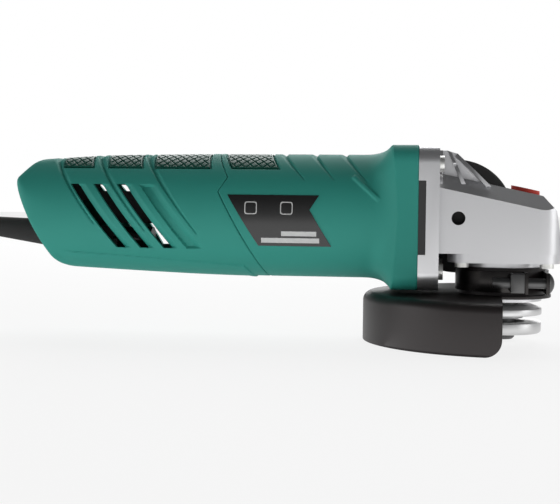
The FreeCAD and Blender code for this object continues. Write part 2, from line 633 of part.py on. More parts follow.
def guard():
    mid = GUARD_R - GUARD_SHOULDER_R
    start = COLLAR_R - 1.0
    top = GUARD_TOP_Z
    root2 = math.sqrt(0.5)
    outer_arc = Part.Arc(vec(mid, 0, top), vec(mid + GUARD_SHOULDER_R * root2, 0, top - GUARD_SHOULDER_R * (1 - root2)),
                         vec(GUARD_R, 0, top - GUARD_SHOULDER_R))
    r_in = GUARD_SHOULDER_R - GUARD_T
    inner_arc = Part.Arc(vec(GUARD_R - GUARD_T, 0, top - GUARD_SHOULDER_R),
                         vec(mid + r_in * root2, 0, top - GUARD_T - r_in * (1 - root2)), vec(mid, 0, top - GUARD_T))
    edges = [
        Part.makeLine(vec(start, 0, top), vec(mid, 0, top)),
        outer_arc.toShape(),
        Part.makeLine(vec(GUARD_R, 0, top - GUARD_SHOULDER_R), vec(GUARD_R, 0, GUARD_RIM_Z)),
        Part.makeLine(vec(GUARD_R, 0, GUARD_RIM_Z), vec(GUARD_R - GUARD_T, 0, GUARD_RIM_Z)),
        Part.makeLine(vec(GUARD_R - GUARD_T, 0, GUARD_RIM_Z), vec(GUARD_R - GUARD_T, 0, top - GUARD_SHOULDER_R)),
        inner_arc.toShape(),
        Part.makeLine(vec(mid, 0, top - GUARD_T), vec(start, 0, top - GUARD_T)),
        Part.makeLine(vec(start, 0, top - GUARD_T), vec(start, 0, top)),
    ]
    profile = Part.Face(Part.Wire(edges))
    sweep = GUARD_TO_DEG - GUARD_FROM_DEG
    shell = profile.revolve(vec(0, 0, 0), Z, sweep)
    shell.rotate(vec(0, 0, 0), Z, GUARD_FROM_DEG)
    shell = shell.cut(guard_corner(GUARD_FROM_DEG, 1)).cut(guard_corner(GUARD_TO_DEG, -1))
    collar = tube_z(COLLAR_R, NECK_R + RUN, GUARD_TOP_Z - GUARD_T, COLLAR_TOP_Z)
    foot = tube_z(COLLAR_R + 3.0, NECK_R + RUN, GUARD_TOP_Z - GUARD_T, GUARD_TOP_Z)
    NODES["guard"] = fuse_all([collar, foot, shell])


def guard_corner(angle, turn):
    """What rounds off the lower corner of the rim at one end of the guard."""
    r = GUARD_CORNER_R
    block = box(GUARD_R - 6, GUARD_R + 6, -1, r, GUARD_RIM_Z - 1, GUARD_RIM_Z + r)
    round_off = block.cut(rod_x(r, GUARD_R - 7, GUARD_R + 7, r, GUARD_RIM_Z + r))
    if turn < 0:
        round_off = round_off.mirror(vec(0, 0, 0), Y)
    round_off.rotate(vec(0, 0, 0), Z, angle)
    return round_off


def clamp():
    band = tube_z(BAND_R, BAND_INNER_R, BAND_LOW_Z, BAND_HIGH_Z)
    gap = box(EAR_NEAR_X + EAR_T, EAR_FAR_X, -40, 0, 0, 40)
    band = band.cut(gap)
    ears = []
    for x in (EAR_NEAR_X, EAR_FAR_X):
        root_y = -math.sqrt(BAND_INNER_R ** 2 - x ** 2) - 0.4
        ears.append(box(x, x + EAR_T, -EAR_OUT, root_y, BAND_LOW_Z, BAND_HIGH_Z))
    hole = rod_x(CLAMP_BOLT_R + SEAT, EAR_NEAR_X - 1, EAR_FAR_X + 4, CLAMP_BOLT_Y, CLAMP_BOLT_Z)
    NODES["clamp_band"] = fuse_all([band] + ears).cut(hole).cut(rod_z(BAND_INNER_R, 0, 40))
    head_x = EAR_FAR_X + EAR_T
    shank = rod_x(CLAMP_BOLT_R, CLAMP_BOLT_TAIL_X, head_x, CLAMP_BOLT_Y, CLAMP_BOLT_Z)
    dome = Part.makeSphere(CLAMP_HEAD_R * 1.25, vec(head_x + CLAMP_HEAD_T - CLAMP_HEAD_R * 1.25, CLAMP_BOLT_Y, CLAMP_BOLT_Z))
    head = rod_x(CLAMP_HEAD_R, head_x, head_x + CLAMP_HEAD_T, CLAMP_BOLT_Y, CLAMP_BOLT_Z).common(dome)
    NODES["clamp_bolt"] = fuse_all([shank, head])
    half = CLAMP_NUT_HALF
    nut = box(EAR_NEAR_X - CLAMP_NUT_L, EAR_NEAR_X, CLAMP_BOLT_Y - half, CLAMP_BOLT_Y + half,
              CLAMP_BOLT_Z - half, CLAMP_BOLT_Z + half)
    NODES["clamp_nut"] = nut.cut(rod_x(CLAMP_BOLT_R, -20, 20, CLAMP_BOLT_Y, CLAMP_BOLT_Z))


# ---------------------------------------------------------------- spindle lock

def spindle_lock():
    slant = math.degrees(math.atan(DECK_SLOPE))
    top_z = deck_z(LOCK_X) + LOCK_CAP_RISE
    cap = rod_z(LOCK_CAP_R, top_z - LOCK_CAP_T - 3, top_z + 6, LOCK_X)
    above = box(LOCK_X - 20, LOCK_X + 20, -20, 20, top_z, top_z + 20)
    above.rotate(vec(LOCK_X, 0, top_z), Y, slant)
    below = box(LOCK_X - 20, LOCK_X + 20, -20, 20, top_z - 30, top_z - LOCK_CAP_T)
    below.rotate(vec(LOCK_X, 0, top_z - LOCK_CAP_T), Y, slant)
    cap = cap.cut([above, below])
    stem_low = top_z - LOCK_CAP_T - 0.5
    stem = rod_z(LOCK_PIN_R + 1.1, stem_low, top_z - 2.0, LOCK_X)
    socket = rod_z(LOCK_PIN_R, 0, top_z - 1.6, LOCK_X)
    NODES["lock_button"] = cap.fuse(stem).cut(socket)
    NODES["lock_pin"] = rod_z(LOCK_PIN_R, LOCK_PIN_END_Z, top_z - 1.6, LOCK_X)
    seat_low = LOCK_WELL_Z + LOCK_SPRING_WIRE_R + 0.05
    cap_low = top_z - LOCK_CAP_T - (LOCK_SPRING_R + LOCK_SPRING_WIRE_R) * DECK_SLOPE
    seat_high = cap_low - LOCK_SPRING_WIRE_R - SEAT
    pitch = (seat_high - seat_low) / LOCK_SPRING_TURNS
    helix = Part.makeHelix(pitch, seat_high - seat_low, LOCK_SPRING_R)
    wire_end = Part.makeCircle(LOCK_SPRING_WIRE_R, vec(LOCK_SPRING_R, 0, 0), Y)
    coil = Part.Wire(helix.Edges).makePipeShell([Part.Wire([wire_end])], True, True)
    coil.translate(vec(LOCK_X, 0, seat_low))
    NODES["lock_spring"] = coil


# ---------------------------------------------------------------- motor housing

def split_outline(front):
    """Side outline of everything in front of, or behind, the stepped split line."""
    z = MOTOR_Z
    low, high = z - HOUSING_R - 3.8, z + HOUSING_R + 2.2
    line = [(-145.5, high), (-137.2, z + 19.2), (-141.4, z + 12.1), (-116.0, low)]
    far = 0.0 if front else -300.0
    return [(far, high)] + line + [(far, low)]


def flare():
    """The collar that swells from the round barrel to the square ring."""
    sections = []
    steps = 5
    for index in range(steps + 1):
        share = index / steps
        half = HOUSING_R - 0.6 + (FLANGE_HALF - HOUSING_R + 0.6) * share ** 2
        corner = half - 0.5 - (half - 0.5 - FLANGE_CORNER_R) * share ** 2
        x = FLARE_REAR_X + FLARE_L * share
        sections.append(rounded_square(half, corner, x))
    return Part.makeLoft(sections, True, False)


def rounded_square(half, corner, x):
    """A rounded square wire about the motor axis at x."""
    flat = half - corner
    diagonal = flat + corner * math.sqrt(0.5)
    edges = []
    for quarter in range(4):
        side = [(half, -flat), (half, flat), (diagonal, diagonal), (flat, half)]
        turned = []
        for y, z in side:
            for _ in range(quarter):
                y, z = -z, y
            turned.append(vec(x, y, MOTOR_Z + z))
        edges.append(Part.makeLine(turned[0], turned[1]))
        edges.append(Part.Arc(turned[1], turned[2], turned[3]).toShape())
    return Part.Wire(edges)


def motor_housing():
    barrel = rod_x(HOUSING_R, -150, RING_REAR_X).common(prism_xz(split_outline(True), -60, 60))
    ring = rounded_block_x(FLANGE_HALF, FLANGE_CORNER_R, RING_REAR_X, GEAR_FLANGE_REAR_X)
    spigot = rod_x(SPIGOT_OUTER_R, SPIGOT_END_X, STATOR_SEAT_X + 4)
    bearing_end = REAR_BEARING_X - 2
    boss = rod_x(REAR_BOSS_R, bearing_end - 2, SPIGOT_END_X + 1)
    body = fuse_all([barrel, flare(), ring, spigot, boss])
    cuts = [
        rod_x(HOUSING_INNER_R, STATOR_SEAT_X, GEAR_FLANGE_REAR_X + 1),
        rod_x(SPIGOT_INNER_R, SPIGOT_END_X + 3, STATOR_SEAT_X + 1),
        rod_x(REAR_BOSS_INNER_R, bearing_end, SPIGOT_END_X + 4),
        box(SPIGOT_END_X - 1, STATOR_SEAT_X + 1, ROD_Y - 1.5, HOUSING_INNER_R, MOTOR_Z - 3.5, MOTOR_Z + 3.5),
        box(SLIDER_FOOT_X - 1, SLIDER_FOOT_X + SLIDER_FOOT_L + SLIDER_TRAVEL + 1, 20, 40, MOTOR_Z - 3.4, MOTOR_Z + 3.4),
    ]
    window = rod_x(3.6, SPIGOT_END_X - 1, SPIGOT_END_X + 4, 0, MOTOR_Z + (REAR_BOSS_R + SPIGOT_INNER_R) / 2)
    cuts += around_x(window, 8)[1::2]
    for y, z in square_pattern(CASE_SCREW_AT):
        cuts.append(rod_x(CASE_SCREW_R + SEAT / 2, CASE_SCREW_END_X - 1, 0, y, MOTOR_Z + z))
    NODES["motor_housing"] = body.cut(cuts)
    x1 = REAR_BEARING_X + REAR_BEARING[2] + 1
    boot = tube_x(REAR_BOSS_INNER_R - SEAT, REAR_BEARING[1] + SEAT / 2, REAR_BEARING_X, x1)
    cup = tube_x(REAR_BOSS_INNER_R - SEAT, SHAFT_END_R + 2, bearing_end, REAR_BEARING_X)
    NODES["rear_bearing_boot"] = boot.fuse(cup)


def label_plate():
    z = MOTOR_Z
    outline = [(-136.4, z + 10.3), (-90.7, z + 10.3), (-95.2, z + 3.2), (-84.6, z - 14.7), (-120.9, z - 14.7)]
    skin = tube_x(HOUSING_R + 0.35, HOUSING_R, -140, -80)
    NODES["label_plate"] = skin.common(prism_xz(outline, -60, 0))


# ---------------------------------------------------------------- tail

def tail_outline():
    """Side outline of the tail, from the split line round the rear end."""
    z = MOTOR_Z
    low = z - HOUSING_R
    high = z + HOUSING_R
    return [(-100.0, high + 0.1), (-150.0, high + 0.1), (-219.0, high - 1.5), (TAIL_TOP_X, high - 3.9),
            (TAIL_REAR_X, z + 16.0), (-228.8, low + 7.0), (-223.5, low + 3.5), (-194.0, low + 1.7),
            (-150.0, low - 0.1), (-100.0, low - 0.1)]


def tail_solid(shrink):
    """The closed form of the tail, made smaller all round by shrink."""
    points = tail_outline()
    wire = Part.makePolygon([vec(x, -60, z) for x, z in points + points[:1]])
    if shrink:
        wire = wire.makeOffset2D(-shrink, 2)
    side = Part.Face(wire).extrude(vec(0, 120, 0))
    side = side.fuse(box(-101 - shrink, -99, -60, 60, MOTOR_Z - HOUSING_R, MOTOR_Z + HOUSING_R)) if shrink else side
    plan_half = HOUSING_R - shrink
    round_off = 11.0 - shrink
    plan = box(TAIL_REAR_X + shrink - 0.01, -90, -plan_half, plan_half, 0, 100)
    corners = [e for e in plan.Edges if abs(e.tangentAt(e.FirstParameter).z) > 0.9 and e.CenterOfMass.x < -200]
    plan = plan.makeFillet(round_off, corners)
    return rod_x(plan_half, -260, -100).common(side).common(plan)


def slot_prism(index, y0, y1):
    """One slanted vent slot."""
    x = SLOT_FIRST_X + index * SLOT_PITCH
    lean = (SLOT_TOP_Z - SLOT_BOTTOM_Z) * SLOT_SLOPE
    outline = [(x, SLOT_TOP_Z), (x + SLOT_WIDTH, SLOT_TOP_Z), (x + SLOT_WIDTH + lean, SLOT_BOTTOM_Z),
               (x + lean, SLOT_BOTTOM_Z)]
    return prism_xz(outline, y0, y1)


def tail_shells():
    outer = tail_solid(0.0)
    inner = tail_solid(WALL)
    behind = prism_xz(split_outline(False), -60, 60)
    wall = outer.common(behind).cut(inner)
    cuts = [
        Part.makeCylinder(SLEEVE_R + SEAT, 30, CORD_EXIT - CORD_AXIS * 12, CORD_AXIS),
        box(TAIL_REAR_X - 5, DIAL_X, -DIAL_R - FREE, DIAL_R + FREE, DIAL_Z - FREE, DIAL_Z + DIAL_T + FREE),
    ]
    for index in range(SLOT_COUNT):
        if index < SLOT_COUNT - 1:
            cuts.append(slot_prism(index, -60, -15))
            cuts.append(slot_prism(index, 15, 60))
        else:
            skin = rod_x(HOUSING_R + 5, -260, -100).cut(rod_x(HOUSING_R - BLIND_SLOT_DEPTH, -261, -99))
            cuts.append(slot_prism(index, -60, 60).common(skin))
    wall = wall.cut(cuts)
    for side, name in ((-1, "tail_shell_right"), (1, "tail_shell_left")):
        half = wall.common(box(-300, 0, min(0, side * 60), max(0, side * 60), 0, 100))
        NODES[name] = finish_tail_half(half, side, outer, inner)


def finish_tail_half(half, side, outer, inner):
    """Adds screw bosses and the shelf and ribs that carry the electrics."""
    y0, y1 = min(0, side * 60), max(0, side * 60)
    extras = [rod_y(TAIL_BOSS_R, y0, y1, x, z) for x, z in TAIL_BOSSES]
    if side > 0:
        extras.append(box(SWITCH_X - 2, SWITCH_X + SWITCH_L + 4, -14, 60, SHELF_Z, SHELF_Z + SHELF_T))
        for x in (-231.0, -219.0):
            extras.append(box(x, x + 1.6, SEAT, 60, CONTROLLER_Z + CONTROLLER_H + SEAT, 100))
        extras.append(box(-224, -216, -9, 60, 20, clamp_floor_z()))
    else:
        extras.append(box(-205, -152, -60, -22, 32.4, 34.0))
    added = fuse_all([e.common(inner) for e in extras])
    half = half.fuse(added).removeSplitter()
    cuts = []
    for x, z in TAIL_BOSSES:
        if side > 0:
            cuts.append(rod_y(TAIL_SCREW_R + 0.2, -1, 60, x, z))
            cuts.append(rod_y(TAIL_SCREW_HEAD_R + 0.2, TAIL_SCREW_SEAT_Y, 60, x, z))
        else:
            cuts.append(rod_y(TAIL_SCREW_R + RUN, TAIL_SCREW_END_Y - 1, 1, x, z))
    if side > 0:
        for y in (-6.5, 6.5):
            cuts.append(rod_z(1.3 + RUN, clamp_floor_z() - 5, 60, -220, y))
    cuts.append(box(SPIGOT_END_X - 1, -100, -60, 60, 0, 100).common(rod_x(SPIGOT_OUTER_R + SEAT, -155, -100)))
    return half.cut(cuts)


def cord_z(x):
    """Height of the lead's axis inside the tail."""
    return CORD_EXIT_Z - (x - CORD_EXIT_X) * math.tan(CORD_RISE)


def clamp_floor_z():
    return cord_z(-216) - CORD_R - SEAT


def tail_screws():
    screws = []
    for x, z in TAIL_BOSSES:
        shank = rod_y(TAIL_SCREW_R, TAIL_SCREW_END_Y, TAIL_SCREW_SEAT_Y, x, z)
        screws.append(shank.fuse(rod_y(TAIL_SCREW_HEAD_R, TAIL_SCREW_SEAT_Y, TAIL_SCREW_SEAT_Y + 2, x, z)))
    NODES["tail_screws"] = Part.makeCompound(screws)


# ---------------------------------------------------------------- motor

def stator():
    x0, x1 = CORE_REAR_X, CORE_REAR_X + CORE_L
    bore = ARMATURE_R + AIR_GAP
    core = rod_x(STATOR_R, x0, x1).common(box(x0, x1, -STATOR_FLAT, STATOR_FLAT, 0, 100))
    channels = [rod_x(bore, x0 - 1, x1 + 1)]
    coils = []
    for side in (-1, 1):
        channels.append(coil_block(side, x0 - 1, x1 + 1, 0.0))
        coils.append(coil_block(side, x0 - 6, x1 + 6, SEAT).cut(pole_block(side)))
    NODES["stator_core"] = core.cut(channels).fuse([pole_block(s).common(core_ring(x0, x1)) for s in (-1, 1)])
    NODES["field_coils"] = Part.makeCompound(coils)


def core_ring(x0, x1):
    return tube_x(STATOR_R - 1, ARMATURE_R + AIR_GAP, x0, x1)


def coil_block(side, x0, x1, shrink):
    """The curved space that one field coil fills, above or below the armature."""
    inner_r = ARMATURE_R + AIR_GAP + 1.6 + shrink
    outer_r = STATOR_R - 4.4 - shrink
    ring = tube_x(outer_r, inner_r, x0, x1)
    low = MOTOR_Z + side * (4.5 + shrink)
    return ring.common(box(x0, x1, -60, 60, min(low, low + side * 60), max(low, low + side * 60)))


def pole_block(side):
    """The iron pole inside one field coil."""
    x0, x1 = CORE_REAR_X, CORE_REAR_X + CORE_L
    low = MOTOR_Z + side * (ARMATURE_R + AIR_GAP - 2)
    return box(x0, x1, -9, 9, min(low, low + side * 15), max(low, low + side * 15))


def armature():
    core_x1 = CORE_REAR_X + CORE_L
    rear_step = REAR_BEARING_X + REAR_BEARING[2] + 2
    NODES["armature_shaft"] = fuse_all([
        rod_x(SHAFT_END_R, REAR_BEARING_X - 0.5, rear_step),
        rod_x(SHAFT_R, rear_step, PINION_SEAT_X),
        rod_x(SHAFT_END_R, PINION_SEAT_X, -CROWN_INNER_R),
        rod_x(SHAFT_END_R - 0.9, -CROWN_INNER_R, -CROWN_INNER_R + 4.0),
    ])
    slot = rod_x(1.6, CORE_REAR_X - 1, core_x1 + 1, 0, MOTOR_Z + ARMATURE_R - 2.4)
    opening = box(CORE_REAR_X - 1, core_x1 + 1, -0.6, 0.6, MOTOR_Z + ARMATURE_R - 2, MOTOR_Z + ARMATURE_R + 1)
    core = tube_x(ARMATURE_R, SHAFT_R, CORE_REAR_X, core_x1)
    NODES["armature_core"] = core.cut(around_x(slot, 12) + around_x(opening, 12))
    bar = rod_x(1.5, CORE_REAR_X - 5, core_x1 + 3, 0, MOTOR_Z + ARMATURE_R - 2.4)
    ends = [tube_x(ARMATURE_R - 0.8, SHAFT_R + 2, CORE_REAR_X - 8, CORE_REAR_X),
            tube_x(ARMATURE_R - 0.8, SHAFT_R + 2, core_x1, core_x1 + 5)]
    NODES["armature_winding"] = fuse_all(ends + around_x(bar, 12))
    cx = COMMUTATOR_REAR_X
    drum = tube_x(COMMUTATOR_R, SHAFT_R, cx, cx + COMMUTATOR_L)
    riser = tube_x(COMMUTATOR_R + 1.6, SHAFT_R, cx + COMMUTATOR_L, cx + COMMUTATOR_L + 2.4)
    groove = box(cx - 1, cx + COMMUTATOR_L + 3, -0.25, 0.25, MOTOR_Z + COMMUTATOR_R - 1, MOTOR_Z + COMMUTATOR_R + 2)
    NODES["commutator"] = fuse_all([drum, riser]).cut(around_x(groove, 24))


def fan():
    x0 = FAN_REAR_X
    disc = tube_x(FAN_R, SHAFT_R, x0, x0 + 1.5)
    hub = tube_x(SHAFT_R + 4.5, SHAFT_R, x0, x0 + FAN_L - 1)
    blade = box(x0 + 1.0, x0 + FAN_L, -0.6, 0.6, MOTOR_Z + SHAFT_R + 4, MOTOR_Z + FAN_R - 0.4)
    blade.rotate(vec(x0, 0, MOTOR_Z + SHAFT_R + 4), X, 18)
    NODES["fan"] = fuse_all([disc, hub] + around_x(blade, FAN_BLADES))


def brush_gear():
    x = COMMUTATOR_REAR_X + COMMUTATOR_L / 2
    holders, brushes, springs = [], [], []
    reach = math.sqrt(SPIGOT_INNER_R ** 2 - 25) - SEAT
    for side in (-1, 1):
        low, high = COMMUTATOR_R + 1.4, reach
        holder = box(x - 5, x + 5, -5, 5, MOTOR_Z + low, MOTOR_Z + high)
        holder = holder.cut(box(x - 4, x + 4, -3.2, 3.2, MOTOR_Z + low - 1, MOTOR_Z + high - 1.2))
        brush = box(x - 4 + SEAT, x + 4 - SEAT, -3.1, 3.1, MOTOR_Z + COMMUTATOR_R - 2, MOTOR_Z + COMMUTATOR_R + 9)
        brush = brush.cut(rod_x(COMMUTATOR_R + 0.3, x - 8, x + 8))
        spring = Part.makeCylinder(2.2, high - 1.3 - COMMUTATOR_R - 9.1, vec(x, 0, MOTOR_Z + COMMUTATOR_R + 9.1), Z)
        for shape, group in ((holder, holders), (brush, brushes), (spring, springs)):
            if side < 0:
                shape = shape.mirror(vec(0, 0, MOTOR_Z), Z)
            group.append(shape)
    NODES["brush_holders"] = Part.makeCompound(holders)
    NODES["carbon_brushes"] = Part.makeCompound(brushes)
    NODES["brush_springs"] = Part.makeCompound(springs)


# ---------------------------------------------------------------- electrics

def switch_group():
    z0 = SHELF_Z + SHELF_T
    NODES["switch_body"] = box(SWITCH_X, SWITCH_X + SWITCH_L, SWITCH_NEAR_Y, SWITCH_NEAR_Y + SWITCH_W,
                               z0, z0 + SWITCH_H)
    lever_x = SWITCH_X + SWITCH_L + FREE
    lever = box(lever_x, lever_x + 2, SWITCH_NEAR_Y + 4, ROD_Y + ROD_T, MOTOR_Z - 3, MOTOR_Z + 3)
    bar = box(lever_x, SLIDER_FOOT_X + SLIDER_FOOT_L, ROD_Y, ROD_Y + ROD_T, MOTOR_Z - ROD_HALF_H, MOTOR_Z + ROD_HALF_H)
    NODES["switch_link_rod"] = lever.fuse(bar).removeSplitter()
    under = HOUSING_R + 0.35
    pad = box(SLIDER_X, SLIDER_X + SLIDER_L, 0, 60, MOTOR_Z - SLIDER_HALF_H, MOTOR_Z + SLIDER_HALF_H)
    pad = pad.common(tube_x(under + SLIDER_RISE, under, SLIDER_X, SLIDER_X + SLIDER_L))
    grooves = []
    for index in range(6):
        x = SLIDER_X + 4 + index * 2.8
        grooves.append(box(x, x + 1.2, under + SLIDER_RISE - 0.9, 60, 0, 100))
    foot = box(SLIDER_FOOT_X, SLIDER_FOOT_X + SLIDER_FOOT_L, ROD_Y + ROD_T, under + 1, MOTOR_Z - 2.8, MOTOR_Z + 2.8)
    NODES["switch_slider"] = pad.cut(grooves).fuse(foot)


def electronics():
    z0 = CONTROLLER_Z
    case = box(-235.4, -235.4 + CONTROLLER_L, -9, 9, z0, z0 + CONTROLLER_H)
    pin = rod_z(DIAL_PIN_R, DIAL_Z - 1, z0 + 1, DIAL_X)
    NODES["speed_controller"] = case.fuse(pin)
    dial = tube_z(DIAL_R, DIAL_PIN_R + RUN, 0, DIAL_T)
    tooth = rod_z(0.5, -1, DIAL_T + 1, DIAL_R + 0.1)
    dial = dial.cut(around_z(tooth, 30))
    dial.translate(vec(DIAL_X, 0, DIAL_Z))
    NODES["speed_dial"] = dial
    top = SHELF_Z - SEAT
    NODES["suppression_capacitor"] = rod_x(CAPACITOR_R, CAPACITOR_X, CAPACITOR_X + CAPACITOR_L, -4, top - CAPACITOR_R)
    block = box(-214, -200.5, -9, 7, top - 10, top)
    NODES["terminal_block"] = block.cut([rod_x(1.6, -215, -200, y, top - 5) for y in (-5, 3)])


def cord_clamp():
    z0 = cord_z(-224) + CORD_R + SEAT
    bar = box(-223, -217, -9, 9, z0, z0 + 2.4)
    holes = [rod_z(1.3 + RUN, 0, 90, -220, y) for y in (-6.5, 6.5)]
    NODES["cord_clamp"] = bar.cut(holes)
    screws = []
    for y in (-6.5, 6.5):
        shank = rod_z(1.3, clamp_floor_z() - 4, z0 + 2.4, -220, y)
        screws.append(shank.fuse(rod_z(2.3, z0 + 2.4, z0 + 3.9, -220, y)))
    NODES["cord_clamp_screws"] = Part.makeCompound(screws)


# ---------------------------------------------------------------- side handle

def side_handle():
    stud_in = HEAD_HALF_WIDTH - HANDLE_HOLE_DEPTH + 1.0
    NODES["side_handle_stud"] = fuse_all([
        rod_y(HANDLE_HOLE_R - RUN, stud_in, HANDLE_DISC_Y + 20, HANDLE_X, MOTOR_Z),
        rod_y(6.5, HEAD_HALF_WIDTH + 0.3, HEAD_HALF_WIDTH + 2.5, HANDLE_X, MOTOR_Z),
    ])
    disc_y1 = HANDLE_DISC_Y + HANDLE_DISC_T
    r = HANDLE_GRIP_R
    neck_y = HEAD_HALF_WIDTH + 2.6
    outline = [(0, neck_y), (8.6, neck_y), (8.8, HANDLE_DISC_Y), (HANDLE_DISC_R, HANDLE_DISC_Y),
               (HANDLE_DISC_R, disc_y1 - 1.2), (HANDLE_DISC_R - 1.2, disc_y1), (r, disc_y1 + 1.5),
               (r - 1.5, disc_y1 + 8), (r + 1.3, disc_y1 + 34), (r + 1.6, disc_y1 + 58), (r - 0.2, disc_y1 + 86),
               (r + 2.2, HANDLE_END_Y - 8), (r + 1.6, HANDLE_END_Y - 2), (r - 1.5, HANDLE_END_Y), (0, HANDLE_END_Y)]
    wire = Part.makePolygon([vec(HANDLE_X + a, y, MOTOR_Z) for a, y in outline + outline[:1]])
    grip = Part.Face(wire).revolve(vec(HANDLE_X, 0, MOTOR_Z), Y, 360)
    hole = rod_y(HANDLE_HOLE_R - RUN, 0, HANDLE_DISC_Y + 20, HANDLE_X, MOTOR_Z)
    NODES["side_handle_grip"] = grip.cut(hole)


# ---------------------------------------------------------------- mains lead

def sleeve():
    """The tapered rubber sleeve, with a flange that the tail shells trap."""
    def along(s):
        return CORD_EXIT + CORD_AXIS * s
    parts = [
        Part.makeCylinder(SLEEVE_R + 1.2, 2.4, along(-7.6 - WALL), CORD_AXIS),
        Part.makeCylinder(SLEEVE_R, 9.4 + WALL, along(-6.4 - WALL), CORD_AXIS),
        Part.makeCone(SLEEVE_R, SLEEVE_MID_R, 27.0, along(3.0), CORD_AXIS),
        Part.makeCone(SLEEVE_MID_R, SLEEVE_TIP_R, SLEEVE_L - 30.0, along(30.0), CORD_AXIS),
    ]
    hole = Part.makeCylinder(CORD_R + RUN, SLEEVE_L + 30, along(-15), CORD_AXIS)
    NODES["strain_relief_sleeve"] = fuse_all(parts).cut(hole)


def cord_tube():
    """The lead from the terminal block to the coil: straight runs joined by tangent arcs."""
    points = [vec(*p) for p in CORD_ROUTE]
    edges = []
    start = points[0]
    for before, corner, after in zip(points, points[1:], points[2:]):
        back = (before - corner)
        ahead = (after - corner)
        turn = math.pi - back.getAngle(ahead)
        cut_back = 0.45 * min(back.Length, ahead.Length)
        radius = cut_back / math.tan(turn / 2)
        back.normalize()
        ahead.normalize()
        enter = corner + back * cut_back
        leave = corner + ahead * cut_back
        middle_dir = back + ahead
        middle_dir.normalize()
        reach = radius / math.cos(turn / 2) - radius
        middle = corner + middle_dir * reach
        print("cord bend radius %.0f mm, turn %.0f degrees" % (radius, math.degrees(turn)))
        edges.append(Part.LineSegment(start, enter).toShape())
        edges.append(Part.Arc(enter, middle, leave).toShape())
        start = leave
    edges.append(Part.LineSegment(start, points[-1]).toShape())
    path = Part.Wire(edges)
    direction = points[1] - points[0]
    circle = Part.Wire([Part.makeCircle(CORD_R, points[0], direction)])
    solid = path.makePipeShell([circle], True, False)
    expected = math.pi * CORD_R ** 2 * path.Length
    print("cord tube %.0f mm long, volume over section times length %.4f" % (path.Length, solid.Volume / expected))
    NODES["mains_cord"] = solid


def cord_coil():
    """The outer form of the wound part of the lead: two layers of turns."""
    pitch = 2 * CORD_R
    inner = COIL_TURN_R - COIL_TURNS_IN * pitch - CORD_R
    outer = COIL_TURN_R + CORD_R
    x, y = COIL_AT
    ring = rod_z(outer, FLOOR_Z, FLOOR_Z + 2 * pitch, x, y)
    NODES["cord_coil"] = ring.cut(rod_z(inner, FLOOR_Z - 1, FLOOR_Z + 3 * pitch, x, y))
    wound = 2 * COIL_TURNS_IN * math.pi * (2 * COIL_TURN_R - COIL_TURNS_IN * pitch)
    print("lead wound in the coil %.0f mm" % wound)


def plug():
    """A generic two-pin plug lying flat beside the coil."""
    x0 = COIL_AT[0] + math.sqrt((COIL_TURN_R + CORD_R) ** 2 - COIL_TURN_R ** 2)
    y = COIL_AT[1] + COIL_TURN_R
    z = FLOOR_Z + 3 * CORD_R
    relief = Part.makeCone(CORD_R + 1.2, CORD_R + 3.0, PLUG_RELIEF_L, vec(x0, y, z), X)
    body_x = x0 + PLUG_RELIEF_L
    half = PLUG_W / 2
    outline = [(body_x, -7.0), (body_x + 10, -half), (body_x + PLUG_L, -half), (body_x + PLUG_L, half),
               (body_x + 10, half), (body_x, 7.0)]
    body = prism([(px, y + py, FLOOR_Z) for px, py in outline], vec(0, 0, PLUG_H))
    NODES["plug_body"] = relief.fuse(body)
    pins = []
    for side in (-1, 1):
        pin_y = y + side * PLUG_PIN_SPACING / 2
        pins.append(rod_x(PLUG_PIN_R, body_x + PLUG_L, body_x + PLUG_L + PLUG_PIN_L, pin_y, FLOOR_Z + PLUG_H / 2))
    NODES["plug_pins"] = Part.makeCompound(pins)


def build():
    gear_housing()
    case_screws()
    baffle_ring()
    bearing_plate()
    bearings()
    pinion()
    crown_gear()
    spindle()
    flanges()
    guard()
    clamp()
    spindle_lock()
    motor_housing()
    label_plate()
    tail_shells()
    tail_screws()
    stator()
    armature()
    fan()
    brush_gear()
    switch_group()
    electronics()
    cord_clamp()
    side_handle()
    sleeve()
    cord_tube()
    cord_coil()
    plug()


def export():
    os.makedirs("parts", exist_ok=True)
    for name, shape in NODES.items():
        shape.exportStep("parts/" + name + ".step")
    print(len(NODES), "parts written")


build()
export()
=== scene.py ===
"""Looks of an angle grinder for 125 mm discs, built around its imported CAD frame.

Sizes are in millimetres in the row frame: the origin is on the spindle axis at the disc seat, +X points
to the nose, +Y to the user's left and +Z up. Meshes are made in metres.
"""

import json
import logging
import math
from collections.abc import Callable, Iterable, Sequence
from dataclasses import dataclass, field
from enum import Enum

import bpy
import numpy as np
from mathutils import Matrix


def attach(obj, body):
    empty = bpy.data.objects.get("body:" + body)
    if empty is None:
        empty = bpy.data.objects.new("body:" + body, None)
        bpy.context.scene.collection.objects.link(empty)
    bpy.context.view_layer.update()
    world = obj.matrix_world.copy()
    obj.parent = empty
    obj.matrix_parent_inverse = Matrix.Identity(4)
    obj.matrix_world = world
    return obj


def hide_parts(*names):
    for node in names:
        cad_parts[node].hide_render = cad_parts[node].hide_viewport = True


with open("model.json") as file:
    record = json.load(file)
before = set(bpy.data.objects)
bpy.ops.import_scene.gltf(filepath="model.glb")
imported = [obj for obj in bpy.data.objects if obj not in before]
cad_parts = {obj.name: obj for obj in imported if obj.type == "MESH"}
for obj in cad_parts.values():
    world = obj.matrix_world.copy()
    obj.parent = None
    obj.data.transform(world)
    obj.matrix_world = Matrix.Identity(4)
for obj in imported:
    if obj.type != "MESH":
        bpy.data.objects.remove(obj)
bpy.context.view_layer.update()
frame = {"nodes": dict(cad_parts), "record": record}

logging.basicConfig(level=logging.INFO, format="%(message)s")
LOG = logging.getLogger("grinder")

